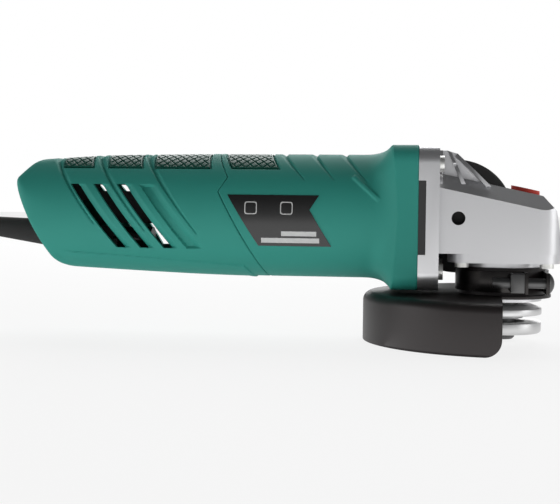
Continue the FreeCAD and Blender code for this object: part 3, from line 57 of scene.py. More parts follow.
MM = 0.001
FLOOR_Z = -14.0
MOTOR_Z = 48.3
BARREL_R = 31.5
WALL = 2.6
SMOOTH_ANGLE = math.radians(32)

Array = np.ndarray
Point = tuple[float, float, float]
Colour = tuple[int, int, int]


# ---------------------------------------------------------------- mesh arrays

def smoothstep(value: Array) -> Array:
    """The curve 3t^2 - 2t^3 on values held between 0 and 1."""
    t = np.clip(value, 0.0, 1.0)
    return t * t * (3.0 - 2.0 * t)


def soft_min(a: Array, b: Array, radius: float) -> Array:
    """The smaller of two lengths, rounded where they cross.

    With h = max(radius - |a - b|, 0) / radius it is min(a, b) - h^2 radius / 4.

    Args:
        a: First lengths.
        b: Second lengths.
        radius: How far apart the lengths may be and still round each other off.

    Returns:
        The rounded minimum.
    """
    h = np.clip(radius - np.abs(a - b), 0.0, None) / radius
    return np.minimum(a, b) - h * h * radius / 4.0


@dataclass
class Patch:
    """A grid of points with quads between its rows and columns.

    Attributes:
        points: Array of rows x columns x 3, in millimetres.
        close_rows: Joins the last row to the first.
        close_columns: Joins the last column to the first.
        flip: Turns the faces round.
        finish: Index of the material on it.
    """

    points: Array
    close_rows: bool = False
    close_columns: bool = False
    flip: bool = False
    finish: int = 0

    def quads(self, first: int) -> Array:
        """Corner indices of the quads, counted from the given first vertex."""
        rows, columns = self.points.shape[:2]
        i = np.arange(rows if self.close_rows else rows - 1)[:, None]
        j = np.arange(columns if self.close_columns else columns - 1)[None, :]
        i2, j2 = (i + 1) % rows, (j + 1) % columns
        corners = [i * columns + j, i * columns + j2, i2 * columns + j2, i2 * columns + j]
        corners = [c + np.zeros((len(i), j.shape[1]), int) for c in corners]
        made = np.stack(corners, axis=-1).reshape(-1, 4) + first
        return made[:, ::-1] if self.flip else made


def make_piece(name: str, patches: Sequence[Patch], finishes: Sequence["Finish"], weld: float = 0.004,
               outwards: bool = True) -> bpy.types.Object:
    """Joins patches into one mesh object, merges their seams and shades it smooth by angle.

    Args:
        name: Name of the piece.
        patches: The grids it is made of.
        finishes: Its finishes, by patch index.
        weld: Distance in millimetres below which points are merged.
        outwards: Works the faces' directions out again after the merge.

    Returns:
        The new object, at the origin.
    """
    points, faces, marks, first = [], [], [], 0
    for patch in patches:
        quads = patch.quads(first)
        points.append(patch.points.reshape(-1, 3))
        faces.append(quads)
        marks.append(np.full(len(quads), patch.finish))
        first += len(points[-1])
    mesh = bpy.data.meshes.new(name)
    co = np.concatenate(points) * MM
    quads = np.concatenate(faces)
    mesh.vertices.add(len(co))
    mesh.vertices.foreach_set("co", co.astype(np.float32).ravel())
    mesh.loops.add(quads.size)
    mesh.loops.foreach_set("vertex_index", quads.astype(np.int32).ravel())
    mesh.polygons.add(len(quads))
    mesh.polygons.foreach_set("loop_start", np.arange(0, quads.size, 4, dtype=np.int32))
    mesh.polygons.foreach_set("material_index", np.concatenate(marks).astype(np.int32))
    mesh.update(calc_edges=True)
    weld_mesh(mesh, weld * MM, outwards)
    return finish_piece(name, mesh, finishes)


def weld_mesh(mesh: bpy.types.Mesh, distance: float, outwards: bool) -> None:
    """Merges points closer than a distance in metres and turns the faces outwards."""
    import bmesh
    work = bmesh.new()
    work.from_mesh(mesh)
    bmesh.ops.remove_doubles(work, verts=work.verts, dist=distance)
    bmesh.ops.dissolve_degenerate(work, edges=work.edges, dist=distance * 0.5)
    if outwards:
        bmesh.ops.recalc_face_normals(work, faces=work.faces)
    work.to_mesh(mesh)
    work.free()
    mesh.validate()


def finish_piece(name: str, mesh: bpy.types.Mesh, finishes: Sequence["Finish"]) -> bpy.types.Object:
    """Puts a mesh in the scene, smooth by angle, with its materials."""
    mesh.polygons.foreach_set("use_smooth", np.ones(len(mesh.polygons), bool))
    mesh.set_sharp_from_angle(angle=SMOOTH_ANGLE)
    piece = bpy.data.objects.new(name, mesh)
    bpy.context.scene.collection.objects.link(piece)
    for finish in finishes:
        mesh.materials.append(finish.material())
    LOG.info("%s: %d faces", name, len(mesh.polygons))
    return piece


def boolean_cut(piece: bpy.types.Object, cutter: bpy.types.Object) -> None:
    """Takes the cutter out of the piece for good, and removes the cutter."""
    cut = piece.modifiers.new("cut", "BOOLEAN")
    cut.operation = "DIFFERENCE"
    cut.solver = "MANIFOLD"
    cut.object = cutter
    bpy.context.view_layer.update()
    graph = bpy.context.evaluated_depsgraph_get()
    made = bpy.data.meshes.new_from_object(piece.evaluated_get(graph), depsgraph=graph)
    piece.modifiers.clear()
    old = piece.data
    made.name = old.name
    piece.data = made
    bpy.data.meshes.remove(old)
    bpy.data.objects.remove(cutter)
    made.polygons.foreach_set("use_smooth", np.ones(len(made.polygons), bool))
    made.set_sharp_from_angle(angle=SMOOTH_ANGLE)


def lathe(profile: Sequence[tuple[float, float]], steps: int, axis: str = "z",
          centre: tuple[float, float] = (0.0, 0.0)) -> Array:
    """Points of a profile turned about an axis.

    A profile point (r, h) becomes (r cos a, r sin a) across the axis and h along it.

    Args:
        profile: (radius, height) pairs.
        steps: Points round the turn.
        axis: "x", "y" or "z".
        centre: Where the axis is, in the other two coordinates in alphabetical order.

    Returns:
        A grid of profile points x steps x 3.
    """
    line = np.asarray(profile, float)
    angle = np.linspace(0.0, 2.0 * math.pi, steps, endpoint=False)
    a = line[:, :1] * np.cos(angle) + centre[0]
    b = line[:, :1] * np.sin(angle) + centre[1]
    h = line[:, 1:] + np.zeros_like(a)
    order = {"x": (h, a, b), "y": (a, h, b), "z": (a, b, h)}[axis]
    return np.stack(order, axis=-1)


# ---------------------------------------------------------------- finishes

class Texture(Enum):
    """How the surface of a finish is worked."""

    MOULDED = "moulded"
    CAST = "cast"
    TURNED = "turned"
    GROUND = "ground"
    PAINTED = "painted"
    LAMINATED = "laminated"
    WOUND = "wound"
    FIBROUS = "fibrous"


def linear(colour: Colour, alpha: float = 1.0) -> tuple[float, float, float, float]:
    """An 8-bit sRGB colour as linear numbers."""
    parts = [c / 255.0 for c in colour]
    parts = [c / 12.92 if c <= 0.04045 else ((c + 0.055) / 1.055) ** 2.4 for c in parts]
    return parts[0], parts[1], parts[2], alpha


@dataclass(frozen=True)
class Finish:
    """One surface finish, made into a node material.

    Attributes:
        name: Name of the material.
        colour: Main colour.
        shade: Colour of its faint mottling.
        roughness: Mean roughness.
        spread: How much the roughness varies.
        texture: How the surface is worked.
        grain: Size of the grain in millimetres.
        relief: Height of the grain in millimetres.
        metallic: 1 for bare metal.
        coat: Strength of a clear coat.
        specular: Specular level.
    """

    name: str
    colour: Colour
    shade: Colour
    roughness: float
    spread: float = 0.06
    texture: Texture = Texture.MOULDED
    grain: float = 0.35
    relief: float = 0.02
    metallic: float = 0.0
    coat: float = 0.0
    specular: float = 0.5

    def material(self) -> bpy.types.Material:
        """The material, made once and shared."""
        found = bpy.data.materials.get(self.name)
        if found:
            return found
        made = bpy.data.materials.new(self.name)
        made.use_nodes = True
        tree = made.node_tree
        shader = tree.nodes["Principled BSDF"]
        shader.inputs["Metallic"].default_value = self.metallic
        shader.inputs["Coat Weight"].default_value = self.coat
        shader.inputs["Coat Roughness"].default_value = 0.08
        shader.inputs["Specular IOR Level"].default_value = self.specular
        place = tree.nodes.new("ShaderNodeTexCoord").outputs["Object"]
        mottle = self._noise(tree, place, 90.0, 3.0)
        grain = self._height(tree, place)
        self._link_colour(tree, shader, mottle, grain)
        self._link_roughness(tree, shader, mottle, place)
        bump = tree.nodes.new("ShaderNodeBump")
        bump.inputs["Strength"].default_value = 1.0
        bump.inputs["Distance"].default_value = self.relief * MM
        tree.links.new(grain, bump.inputs["Height"])
        tree.links.new(bump.outputs["Normal"], shader.inputs["Normal"])
        return made

    def _noise(self, tree: bpy.types.NodeTree, place: bpy.types.NodeSocket, scale: float,
               detail: float) -> bpy.types.NodeSocket:
        """A noise field of the given scale on object coordinates."""
        noise = tree.nodes.new("ShaderNodeTexNoise")
        noise.inputs["Scale"].default_value = scale
        noise.inputs["Detail"].default_value = detail
        tree.links.new(place, noise.inputs["Vector"])
        return noise.outputs["Fac"]

    def _stretched(self, tree: bpy.types.NodeTree, place: bpy.types.NodeSocket,
                   scale: Point) -> bpy.types.NodeSocket:
        """Noise drawn out along the axis with the smallest scale."""
        turn = tree.nodes.new("ShaderNodeMapping")
        turn.inputs["Scale"].default_value = scale
        tree.links.new(place, turn.inputs["Vector"])
        return self._noise(tree, turn.outputs["Vector"], 1.0, 2.0)

    def _wave(self, tree: bpy.types.NodeTree, place: bpy.types.NodeSocket, kind: str, direction: str,
              pitch: float) -> bpy.types.NodeSocket:
        """Bands or rings one pitch apart, in millimetres."""
        wave = tree.nodes.new("ShaderNodeTexWave")
        wave.wave_type = kind
        if kind == "BANDS":
            wave.bands_direction = direction
        else:
            wave.rings_direction = direction
        wave.inputs["Scale"].default_value = math.pi / (10.0 * pitch * MM)
        wave.inputs["Distortion"].default_value = 0.6
        wave.inputs["Detail"].default_value = 2.0
        tree.links.new(place, wave.inputs["Vector"])
        return wave.outputs["Fac"]

    def _height(self, tree: bpy.types.NodeTree, place: bpy.types.NodeSocket) -> bpy.types.NodeSocket:
        """The relief of the worked surface, from 0 to 1."""
        scale = 1.0 / (self.grain * MM)
        if self.texture is Texture.TURNED:
            return self._wave(tree, place, "RINGS", "Z", self.grain)
        if self.texture is Texture.LAMINATED:
            return self._wave(tree, place, "BANDS", "X", self.grain)
        if self.texture is Texture.WOUND:
            return self._wave(tree, place, "BANDS", "Y", self.grain)
        if self.texture is Texture.GROUND:
            return self._stretched(tree, place, (scale * 0.08, scale, scale))
        if self.texture is Texture.CAST:
            cells = tree.nodes.new("ShaderNodeTexVoronoi")
            cells.inputs["Scale"].default_value = scale
            cells.inputs["Randomness"].default_value = 1.0
            tree.links.new(place, cells.inputs["Vector"])
            fine = self._noise(tree, place, scale * 0.6, 4.0)
            return self._mixed(tree, 0.55, cells.outputs["Distance"], fine)
        detail = 1.0 if self.texture is Texture.PAINTED else 5.0
        return self._noise(tree, place, scale, detail)

    def _mixed(self, tree: bpy.types.NodeTree, share: float, a: bpy.types.NodeSocket,
               b: bpy.types.NodeSocket) -> bpy.types.NodeSocket:
        """A blend of two fields."""
        mix = tree.nodes.new("ShaderNodeMix")
        mix.inputs["Factor"].default_value = share
        tree.links.new(a, mix.inputs["A"])
        tree.links.new(b, mix.inputs["B"])
        return mix.outputs["Result"]

    def _link_colour(self, tree: bpy.types.NodeTree, shader: bpy.types.Node, mottle: bpy.types.NodeSocket,
                     grain: bpy.types.NodeSocket) -> None:
        """Mixes the two colours by the mottling, with a little of the grain."""
        ramp = tree.nodes.new("ShaderNodeMapRange")
        ramp.inputs["From Min"].default_value = 0.3
        ramp.inputs["From Max"].default_value = 0.7
        share = 0.75 if self.texture in (Texture.CAST, Texture.WOUND, Texture.LAMINATED) else 0.35
        tree.links.new(self._mixed(tree, share, mottle, grain), ramp.inputs["Value"])
        mix = tree.nodes.new("ShaderNodeMix")
        mix.data_type = "RGBA"
        mix.inputs["A"].default_value = linear(self.shade)
        mix.inputs["B"].default_value = linear(self.colour)
        tree.links.new(ramp.outputs["Result"], mix.inputs["Factor"])
        tree.links.new(mix.outputs["Result"], shader.inputs["Base Color"])

    def _link_roughness(self, tree: bpy.types.NodeTree, shader: bpy.types.Node,
                        mottle: bpy.types.NodeSocket, place: bpy.types.NodeSocket) -> None:
        """Spreads the roughness by handling smears."""
        smear = self._noise(tree, place, 28.0, 2.0)
        ramp = tree.nodes.new("ShaderNodeMapRange")
        ramp.inputs["From Min"].default_value = 0.3
        ramp.inputs["From Max"].default_value = 0.7
        ramp.inputs["To Min"].default_value = self.roughness - self.spread
        ramp.inputs["To Max"].default_value = self.roughness + self.spread
        tree.links.new(self._mixed(tree, 0.4, smear, mottle), ramp.inputs["Value"])
        tree.links.new(ramp.outputs["Result"], shader.inputs["Roughness"])


GREEN_PLASTIC = Finish("green_plastic", (11, 92, 78), (8, 85, 71), 0.36, grain=0.45, relief=0.012, specular=0.4)
GRIP_GREEN = Finish("green_grip", (11, 88, 74), (8, 78, 65), 0.42, grain=0.3, relief=0.012, specular=0.35)
BLACK_PLASTIC = Finish("black_plastic", (27, 27, 29), (19, 19, 21), 0.42, grain=0.4, relief=0.015)
RED_PLASTIC = Finish("red_plastic", (205, 52, 42), (186, 40, 33), 0.38, grain=0.4, relief=0.012)
CAST_ALUMINIUM = Finish("cast_aluminium", (226, 228, 230), (172, 174, 177), 0.42, 0.07, Texture.CAST, 0.9, 0.04,
                        metallic=0.4)
PLATED_STEEL = Finish("plated_steel", (188, 190, 192), (160, 162, 166), 0.27, 0.07, Texture.GROUND, 0.25, 0.006,
                      metallic=1.0)
POLISHED_STEEL = Finish("polished_steel", (214, 216, 218), (188, 190, 194), 0.2, 0.06, Texture.TURNED, 0.4, 0.004,
                        metallic=1.0)
GEAR_STEEL = Finish("gear_steel", (140, 140, 142), (108, 108, 112), 0.32, 0.08, Texture.CAST, 0.3, 0.006,
                    metallic=1.0)
LAMINATION_STEEL = Finish("lamination_steel", (120, 122, 126), (74, 76, 82), 0.42, 0.08, Texture.LAMINATED, 0.7,
                          0.05, metallic=1.0)
BLACK_STEEL = Finish("black_steel", (21, 19, 18), (16, 15, 15), 0.13, 0.03, Texture.PAINTED, 2.2, 0.012, coat=0.5)
BAND_STEEL = Finish("band_steel", (58, 56, 55), (42, 40, 40), 0.24, 0.06, Texture.GROUND, 0.4, 0.008, metallic=0.9)
# Near-black non-metal for the handle hole's thread: painted shade standing in for the dark inside of the hole.
HOLE_SHADE = Finish("hole_painted_shade", (14, 13, 13), (9, 9, 9), 0.5, 0.05, Texture.GROUND, 0.3, 0.006)
DARK_STEEL = Finish("dark_steel", (74, 73, 73), (46, 45, 46), 0.3, 0.08, Texture.TURNED, 0.35, 0.006, metallic=1.0)
COPPER_WIRE = Finish("copper_wire", (186, 98, 50), (120, 56, 26), 0.3, 0.06, Texture.WOUND, 0.8, 0.12,
                     metallic=0.9)
BRASS = Finish("brass", (200, 160, 84), (170, 128, 60), 0.28, 0.06, Texture.GROUND, 0.3, 0.006, metallic=1.0)
CARBON = Finish("carbon", (44, 42, 42), (30, 29, 30), 0.6, grain=0.3, relief=0.03)
BLACK_RUBBER = Finish("black_rubber", (34, 32, 34), (26, 24, 26), 0.5, 0.08, grain=0.5, relief=0.02)
FELT = Finish("felt", (96, 92, 84), (66, 62, 56), 0.9, 0.05, Texture.FIBROUS, 0.25, 0.12)
LABEL_FILM = Finish("label_film", (22, 21, 22), (15, 14, 16), 0.3, 0.05, Texture.PAINTED, 1.4, 0.004)
LABEL_INK = Finish("label_ink", (214, 214, 212), (198, 198, 198), 0.45, 0.05, Texture.PAINTED, 1.4, 0.004)

SLOT_FINISHES = {
    "green_plastic": GREEN_PLASTIC, "black_plastic": BLACK_PLASTIC, "red_plastic": RED_PLASTIC,
    "cast_aluminium": CAST_ALUMINIUM, "plated_steel": PLATED_STEEL, "polished_steel": POLISHED_STEEL,
    "gear_steel": GEAR_STEEL, "lamination_steel": LAMINATION_STEEL, "black_steel": BLACK_STEEL,
    "dark_steel": DARK_STEEL, "copper_wire": COPPER_WIRE, "brass": BRASS, "carbon": CARBON,
    "black_rubber": BLACK_RUBBER, "felt": FELT, "label_film": LABEL_FILM,
}


# ---------------------------------------------------------------- studio

@dataclass(frozen=True)
class SoftBox:
    """A square lamp that points at a spot on the object."""

    name: str
    place: Point
    aim: Point
    size: float
    power: float
    depth: float = 0.0

    def build(self) -> None:
        """Hangs the lamp."""
        lamp = bpy.data.lights.new(self.name, "AREA")
        lamp.shape = "RECTANGLE"
        lamp.size = self.size
        lamp.size_y = self.depth or self.size
        lamp.energy = self.power
        stand = bpy.data.objects.new(self.name, lamp)
        bpy.context.scene.collection.objects.link(stand)
        stand.location = self.place
        stand.visible_camera = False
        direction = np.subtract(self.aim, self.place)
        stand.rotation_euler = bpy_direction(direction)


def bpy_direction(direction: Array) -> tuple[float, float, float]:
    """The turn that points a lamp's -Z along a direction."""
    from mathutils import Vector
    return tuple(Vector(direction).to_track_quat("-Z", "Y").to_euler())


@dataclass
class Studio:
    """Camera, floor, world and lamps."""

    camera_place: Point = (-34.18, -608.91, 58.53)
    right: Point = (0.99148, 0.12988, 0.01038)
    up: Point = (-0.01650, 0.04609, 0.99880)
    forward: Point = (-0.12925, 0.99046, -0.04784)
    lens: float = 75.99
    floor_r: float = 4.0
    boxes: tuple[SoftBox, ...] = (
        SoftBox("back_box", (-0.1, 1.25, 1.05), (-0.1, 0.0, 0.0), 1.5, 26.0),
        SoftBox("left_box", (-1.5, -0.3, 0.2), (-0.15, 0.0, 0.03), 0.8, 5.0),
        SoftBox("right_box", (1.3, -0.4, 0.3), (0.0, 0.0, 0.05), 0.6, 2.6),
        SoftBox("floor_box", (-0.16, -0.22, -0.013), (-0.16, -0.22, 1.0), 0.9, 0.8, 0.36),
    )
    horizon_level: float = 0.5
    zenith_level: float = 0.1

    def build_camera(self) -> None:
        """Sets the camera up on its axes."""
        camera = bpy.data.cameras.new("camera")
        camera.lens = self.lens
        camera.sensor_width = 36.0
        camera.clip_start, camera.clip_end = 0.01, 50.0
        stand = bpy.data.objects.new("camera", camera)
        bpy.context.scene.collection.objects.link(stand)
        axes = Matrix.Identity(4)
        for row in range(3):
            axes[row][0], axes[row][1], axes[row][2] = self.right[row], self.up[row], -self.forward[row]
            axes[row][3] = self.camera_place[row] * MM
        stand.matrix_world = axes
        bpy.context.scene.camera = stand

    def build_floor(self) -> None:
        """A pale disc under the object, which keeps the object's shadow."""
        radii = np.concatenate([[0.0], np.geomspace(50.0, self.floor_r / MM, 24)])
        points = lathe([(r, FLOOR_Z - 0.02) for r in radii], 96)
        floor = make_piece("floor", [Patch(points, close_columns=True)], [])
        floor.data.materials.append(self._floor_material())

    def _floor_material(self) -> bpy.types.Material:
        """White card that also glows a little towards the camera, glass and metal."""
        made = bpy.data.materials.new("pale_floor")
        made.use_nodes = True
        tree = made.node_tree
        shader = tree.nodes["Principled BSDF"]
        shader.inputs["Base Color"].default_value = linear((236, 236, 236))
        shader.inputs["Roughness"].default_value = 0.7
        shader.inputs["Specular IOR Level"].default_value = 0.1
        glow = tree.nodes.new("ShaderNodeEmission")
        glow.inputs["Color"].default_value = (1.0, 1.0, 1.0, 1.0)
        glow.inputs["Strength"].default_value = 1.0
        path = tree.nodes.new("ShaderNodeLightPath")
        seen = tree.nodes.new("ShaderNodeMath")
        seen.operation = "MAXIMUM"
        tree.links.new(path.outputs["Is Camera Ray"], seen.inputs[0])
        tree.links.new(path.outputs["Is Glossy Ray"], seen.inputs[1])
        share = tree.nodes.new("ShaderNodeMath")
        share.operation = "MULTIPLY"
        share.inputs[1].default_value = 0.84
        tree.links.new(seen.outputs[0], share.inputs[0])
        mix = tree.nodes.new("ShaderNodeMixShader")
        tree.links.new(share.outputs[0], mix.inputs[0])
        tree.links.new(shader.outputs[0], mix.inputs[1])
        tree.links.new(glow.outputs[0], mix.inputs[2])
        tree.links.new(mix.outputs[0], tree.nodes["Material Output"].inputs["Surface"])
        return made

    def build_world(self) -> None:
        """A pale room whose backdrop is white to the camera."""
        world = bpy.data.worlds.new("studio")
        bpy.context.scene.world = world
        world.use_nodes = True
        tree = world.node_tree
        room = tree.nodes["Background"]
        room.inputs["Color"].default_value = (0.98, 0.99, 1.0, 1.0)
        way = tree.nodes.new("ShaderNodeTexCoord")
        parts = tree.nodes.new("ShaderNodeSeparateXYZ")
        tree.links.new(way.outputs["Generated"], parts.inputs[0])
        fall = tree.nodes.new("ShaderNodeMapRange")
        fall.interpolation_type = "SMOOTHSTEP"
        fall.inputs["From Min"].default_value = 0.02
        fall.inputs["From Max"].default_value = 0.55
        fall.inputs["To Min"].default_value = self.horizon_level
        fall.inputs["To Max"].default_value = self.zenith_level
        tree.links.new(parts.outputs["Z"], fall.inputs["Value"])
        tree.links.new(fall.outputs["Result"], room.inputs["Strength"])
        backdrop = tree.nodes.new("ShaderNodeBackground")
        backdrop.inputs["Color"].default_value = (1.0, 1.0, 1.0, 1.0)
        backdrop.inputs["Strength"].default_value = 1.0
        path = tree.nodes.new("ShaderNodeLightPath")
        mix = tree.nodes.new("ShaderNodeMixShader")
        tree.links.new(path.outputs["Is Camera Ray"], mix.inputs[0])
        tree.links.new(room.outputs[0], mix.inputs[1])
        tree.links.new(backdrop.outputs[0], mix.inputs[2])
        tree.links.new(mix.outputs[0], tree.nodes["World Output"].inputs["Surface"])

    def build(self) -> None:
        """Floor, world and lamps."""
        self.build_floor()
        self.build_world()
        for box in self.boxes:
            box.build()
        bpy.context.scene.view_settings.view_transform = "Standard"


# ---------------------------------------------------------------- mains lead

@dataclass
class MainsLead:
    """The lead, its coil, its sleeve and its plug."""

    radius: float = 3.5
    route: tuple[Point, ...] = (
        (-218.2, 0.0, 35.74), (-262.5, 0.0, 40.09), (-308.0, 0.0, 41.2),
        (-351.0, 1.5, 23.0), (-388.0, 2.5, -3.0),
    )
    coil_centre: tuple[float, float] = (-430.0, 50.5)
    outer_turn: float = 50.5
    inner_turn: float = 24.25
    turns: float = 3.75
    climb: float = 0.3
    per_turn: int = 24
    plug_y: float = 101.0
    plug_start: float = -410.9
    real_length: float = 2.0
    exit: Point = (-0.2351, 0.0, 0.0374)
    sleeve_rise: float = math.radians(5.6)
    curve: bpy.types.Object = field(init=False)

    def coil_points(self) -> list[Point]:
        """Turns wound inwards on the floor, then outwards on top of them.

        The angle falls evenly from -90 degrees. The radius falls evenly over the lower turns, stays while
        the lead climbs by its own diameter, and grows evenly over the upper turns.
        """
        steps = int(2 * self.turns * self.per_turn)
        low, high = FLOOR_Z + self.radius, FLOOR_Z + 3 * self.radius
        swell = 2.0 / (1.0 + math.cos(math.pi / self.per_turn))
        points = []
        for step in range(1, steps + 1):
            turn = step / self.per_turn
            angle = -math.pi / 2 - 2 * math.pi * turn
            rise = min(max((turn - self.turns) / self.climb, 0.0), 1.0)
            if turn <= self.turns:
                share = turn / self.turns
                radius = self.outer_turn + (self.inner_turn - self.outer_turn) * share
            else:
                share = max(turn - self.turns - self.climb, 0.0) / (self.turns - self.climb)
                radius = self.inner_turn + (self.outer_turn - self.inner_turn) * share
            z = low + (high - low) * rise * rise * (3 - 2 * rise)
            points.append((self.coil_centre[0] + radius * swell * math.cos(angle),
                           self.coil_centre[1] + radius * swell * math.sin(angle), z))
        return points

    def build_curve(self) -> None:
        """The lead as one smooth curve from the terminals to inside the plug."""
        x, _ = self.coil_centre
        low, high = FLOOR_Z + self.radius, FLOOR_Z + 3 * self.radius
        points = [*self.route, (x + 6.0, 0.0, low), (x, -0.2, low), *self.coil_points()[:-1],
                  (x, self.plug_y, high), (x + 12.0, self.plug_y, high), (self.plug_start + 14.0, self.plug_y, high)]
        data = bpy.data.curves.new("mains_lead", "CURVE")
        data.dimensions = "3D"
        data.resolution_u = 8
        data.bevel_depth = self.radius * MM
        data.bevel_resolution = 6
        data.use_fill_caps = True
        spline = data.splines.new("NURBS")
        spline.points.add(len(points) - 1)
        for spot, place in zip(spline.points, points):
            spot.co = (place[0] * MM, place[1] * MM, place[2] * MM, 1.0)
        spline.order_u = 3
        spline.use_endpoint_u = True
        spline.use_smooth = True
        self.curve = bpy.data.objects.new("mains_lead", data)
        bpy.context.scene.collection.objects.link(self.curve)
        data.materials.append(BLACK_RUBBER.material())
        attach(self.curve, "root")
        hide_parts("mains_cord", "cord_coil")

    def build_sleeve(self) -> bpy.types.Object:
        """The tapered sleeve at the tail.

        The profile's radius over the distance s along the lead is interpolated between the flange, the
        tail's hole and the tip, with a rounded lip at the tip.
        """
        s = np.concatenate([[-10.2, -10.2, -7.8, -7.8], np.linspace(-7.7, 62.0, 160), [62.0, 62.0, -10.2]])
        bore = self.radius + 0.05
        outer = np.interp(s, [-7.8, 3.0, 30.0, 60.8, 62.0], [7.0, 7.0, 5.3, 4.7, 4.3])
        outer[:4] = [bore, 8.2, 8.2, 7.0]
        outer[-3:] = [4.2, bore, bore]
        angle = np.linspace(0, 2 * math.pi, 72, endpoint=False)
        along = np.array([-math.cos(self.sleeve_rise), 0.0, math.sin(self.sleeve_rise)])
        upright = np.array([math.sin(self.sleeve_rise), 0.0, math.cos(self.sleeve_rise)])
        side = np.array([0.0, 1.0, 0.0])
        centre = np.array(self.exit) / MM
        points = (centre + s[:, None, None] * along + outer[:, None, None]
                  * (np.cos(angle)[None, :, None] * side + np.sin(angle)[None, :, None] * upright))
        sleeve = make_piece("lead_sleeve", [Patch(points, close_columns=True)], [BLACK_RUBBER])
        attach(sleeve, "root")
        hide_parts("strain_relief_sleeve")
        return sleeve

    def build_plug(self) -> bpy.types.Object:
        """A generic moulded plug lying beside the coil.

        Each section across X is |y/a|^n + |z/b|^n = 1, with half width a, half height b and squareness n
        interpolated along X. Ridges cos(2 pi x / 3.2) of height 0.5 cross the grip.
        """
        x0 = self.plug_start
        x = np.concatenate([np.linspace(x0, x0 + 24, 60), np.linspace(x0 + 24.4, x0 + 61, 110)])
        keys = [x0, x0 + 22, x0 + 27, x0 + 38, x0 + 58, x0 + 60, x0 + 61]
        a = np.interp(x, keys, [4.6, 6.2, 9.5, 16.6, 18.0, 17.6, 16.6])
        b = np.interp(x, keys, [4.6, 6.2, 8.2, 9.0, 9.5, 9.2, 8.4])
        n = np.interp(x, keys, [2.0, 2.0, 2.4, 3.6, 5.0, 5.0, 5.0])
        z = np.interp(x, keys, [-3.5, -3.9, -4.4, -4.5, -4.5, -4.5, -4.5])
        rib = 0.45 * np.cos(2 * math.pi * (x - x0) / 3.2) * smoothstep((x - x0 - 38) / 3) \
            * smoothstep((x0 + 54 - x) / 3)
        ring = -0.8 * smoothstep((-np.cos(2 * math.pi * (x - x0) / 4.8) - 0.4) / 0.3) \
            * smoothstep((x - x0 - 2) / 1.5) * smoothstep((x0 + 21 - x) / 1.5)
        a, b = a + rib.clip(None, 0) + ring, b + ring
        angle = np.linspace(0, 2 * math.pi, 96, endpoint=False)
        c, s = np.cos(angle)[None, :], np.sin(angle)[None, :]
        power = (2.0 / n)[:, None]
        ys = self.plug_y + a[:, None] * np.sign(c) * np.abs(c) ** power
        zs = z[:, None] + b[:, None] * np.sign(s) * np.abs(s) ** power
        body = np.stack([x[:, None] + 0 * c, ys, zs], axis=-1)
        ends = [body[:1].mean(1, keepdims=True) + 0 * body[:1], body[-1:].mean(1, keepdims=True) + 0 * body[-1:]]
        body = np.concatenate([ends[0], body, ends[1]])
        plug = make_piece("plug_moulding", [Patch(body, close_columns=True)], [BLACK_RUBBER])
        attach(plug, "root")
        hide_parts("plug_body")
        return plug

    def build(self) -> None:
        """Builds the sleeve and the plug, and lists them with the plug's pins."""
        pieces = [self.build_sleeve(), self.build_plug(), frame["nodes"]["plug_pins"]]


# ---------------------------------------------------------------- moulded shells

def split_x(z: Array) -> Array:
    """X of the stepped line where the tail meets the motor housing, at a height on the side."""
    line_z = [13.0, 60.4, 67.5, 82.0]
    line_x = [-116.0, -141.4, -137.2, -145.5]
    return np.interp(z, line_z, line_x)


@dataclass(frozen=True)
class Score:
    """A slanted V cut in a shell, widest where it crosses the top.

    Attributes:
        top: (x, z) where it starts.
        end: (x, z) where it runs out.
        behind: Width of its slope towards -X at the top.
        ahead: Width of its slope towards +X at the top.
        depth: Depth at the top.
    """

    top: tuple[float, float]
    end: tuple[float, float]
    behind: float
    ahead: float
    depth: float

    def sink(self, x: Array, z: Array) -> Array:
        """How far the cut lies below the surface.

        With t from 0 at the top to 1 at the end, the slopes' widths shrink to a quarter, and the depth is
        depth (1 - 0.55 t) (1 - d / width), where d is the distance in X from the cut's line.
        """
        t = np.clip((self.top[1] - z) / (self.top[1] - self.end[1]), 0.0, 1.0)
        centre = self.top[0] + (self.end[0] - self.top[0]) * (self.top[1] - z) / (self.top[1] - self.end[1])
        centre = np.where(z > self.top[1], self.top[0], centre)
        d = x - centre
        width = np.where(d < 0, self.behind, self.ahead) * (1.0 - 0.72 * t)
        depth = self.depth * (1.0 - 0.55 * t) * smoothstep((z - self.end[1] + 0.8) / 1.6)
        return depth * np.clip(1.0 - np.abs(d) / width, 0.0, 1.0)


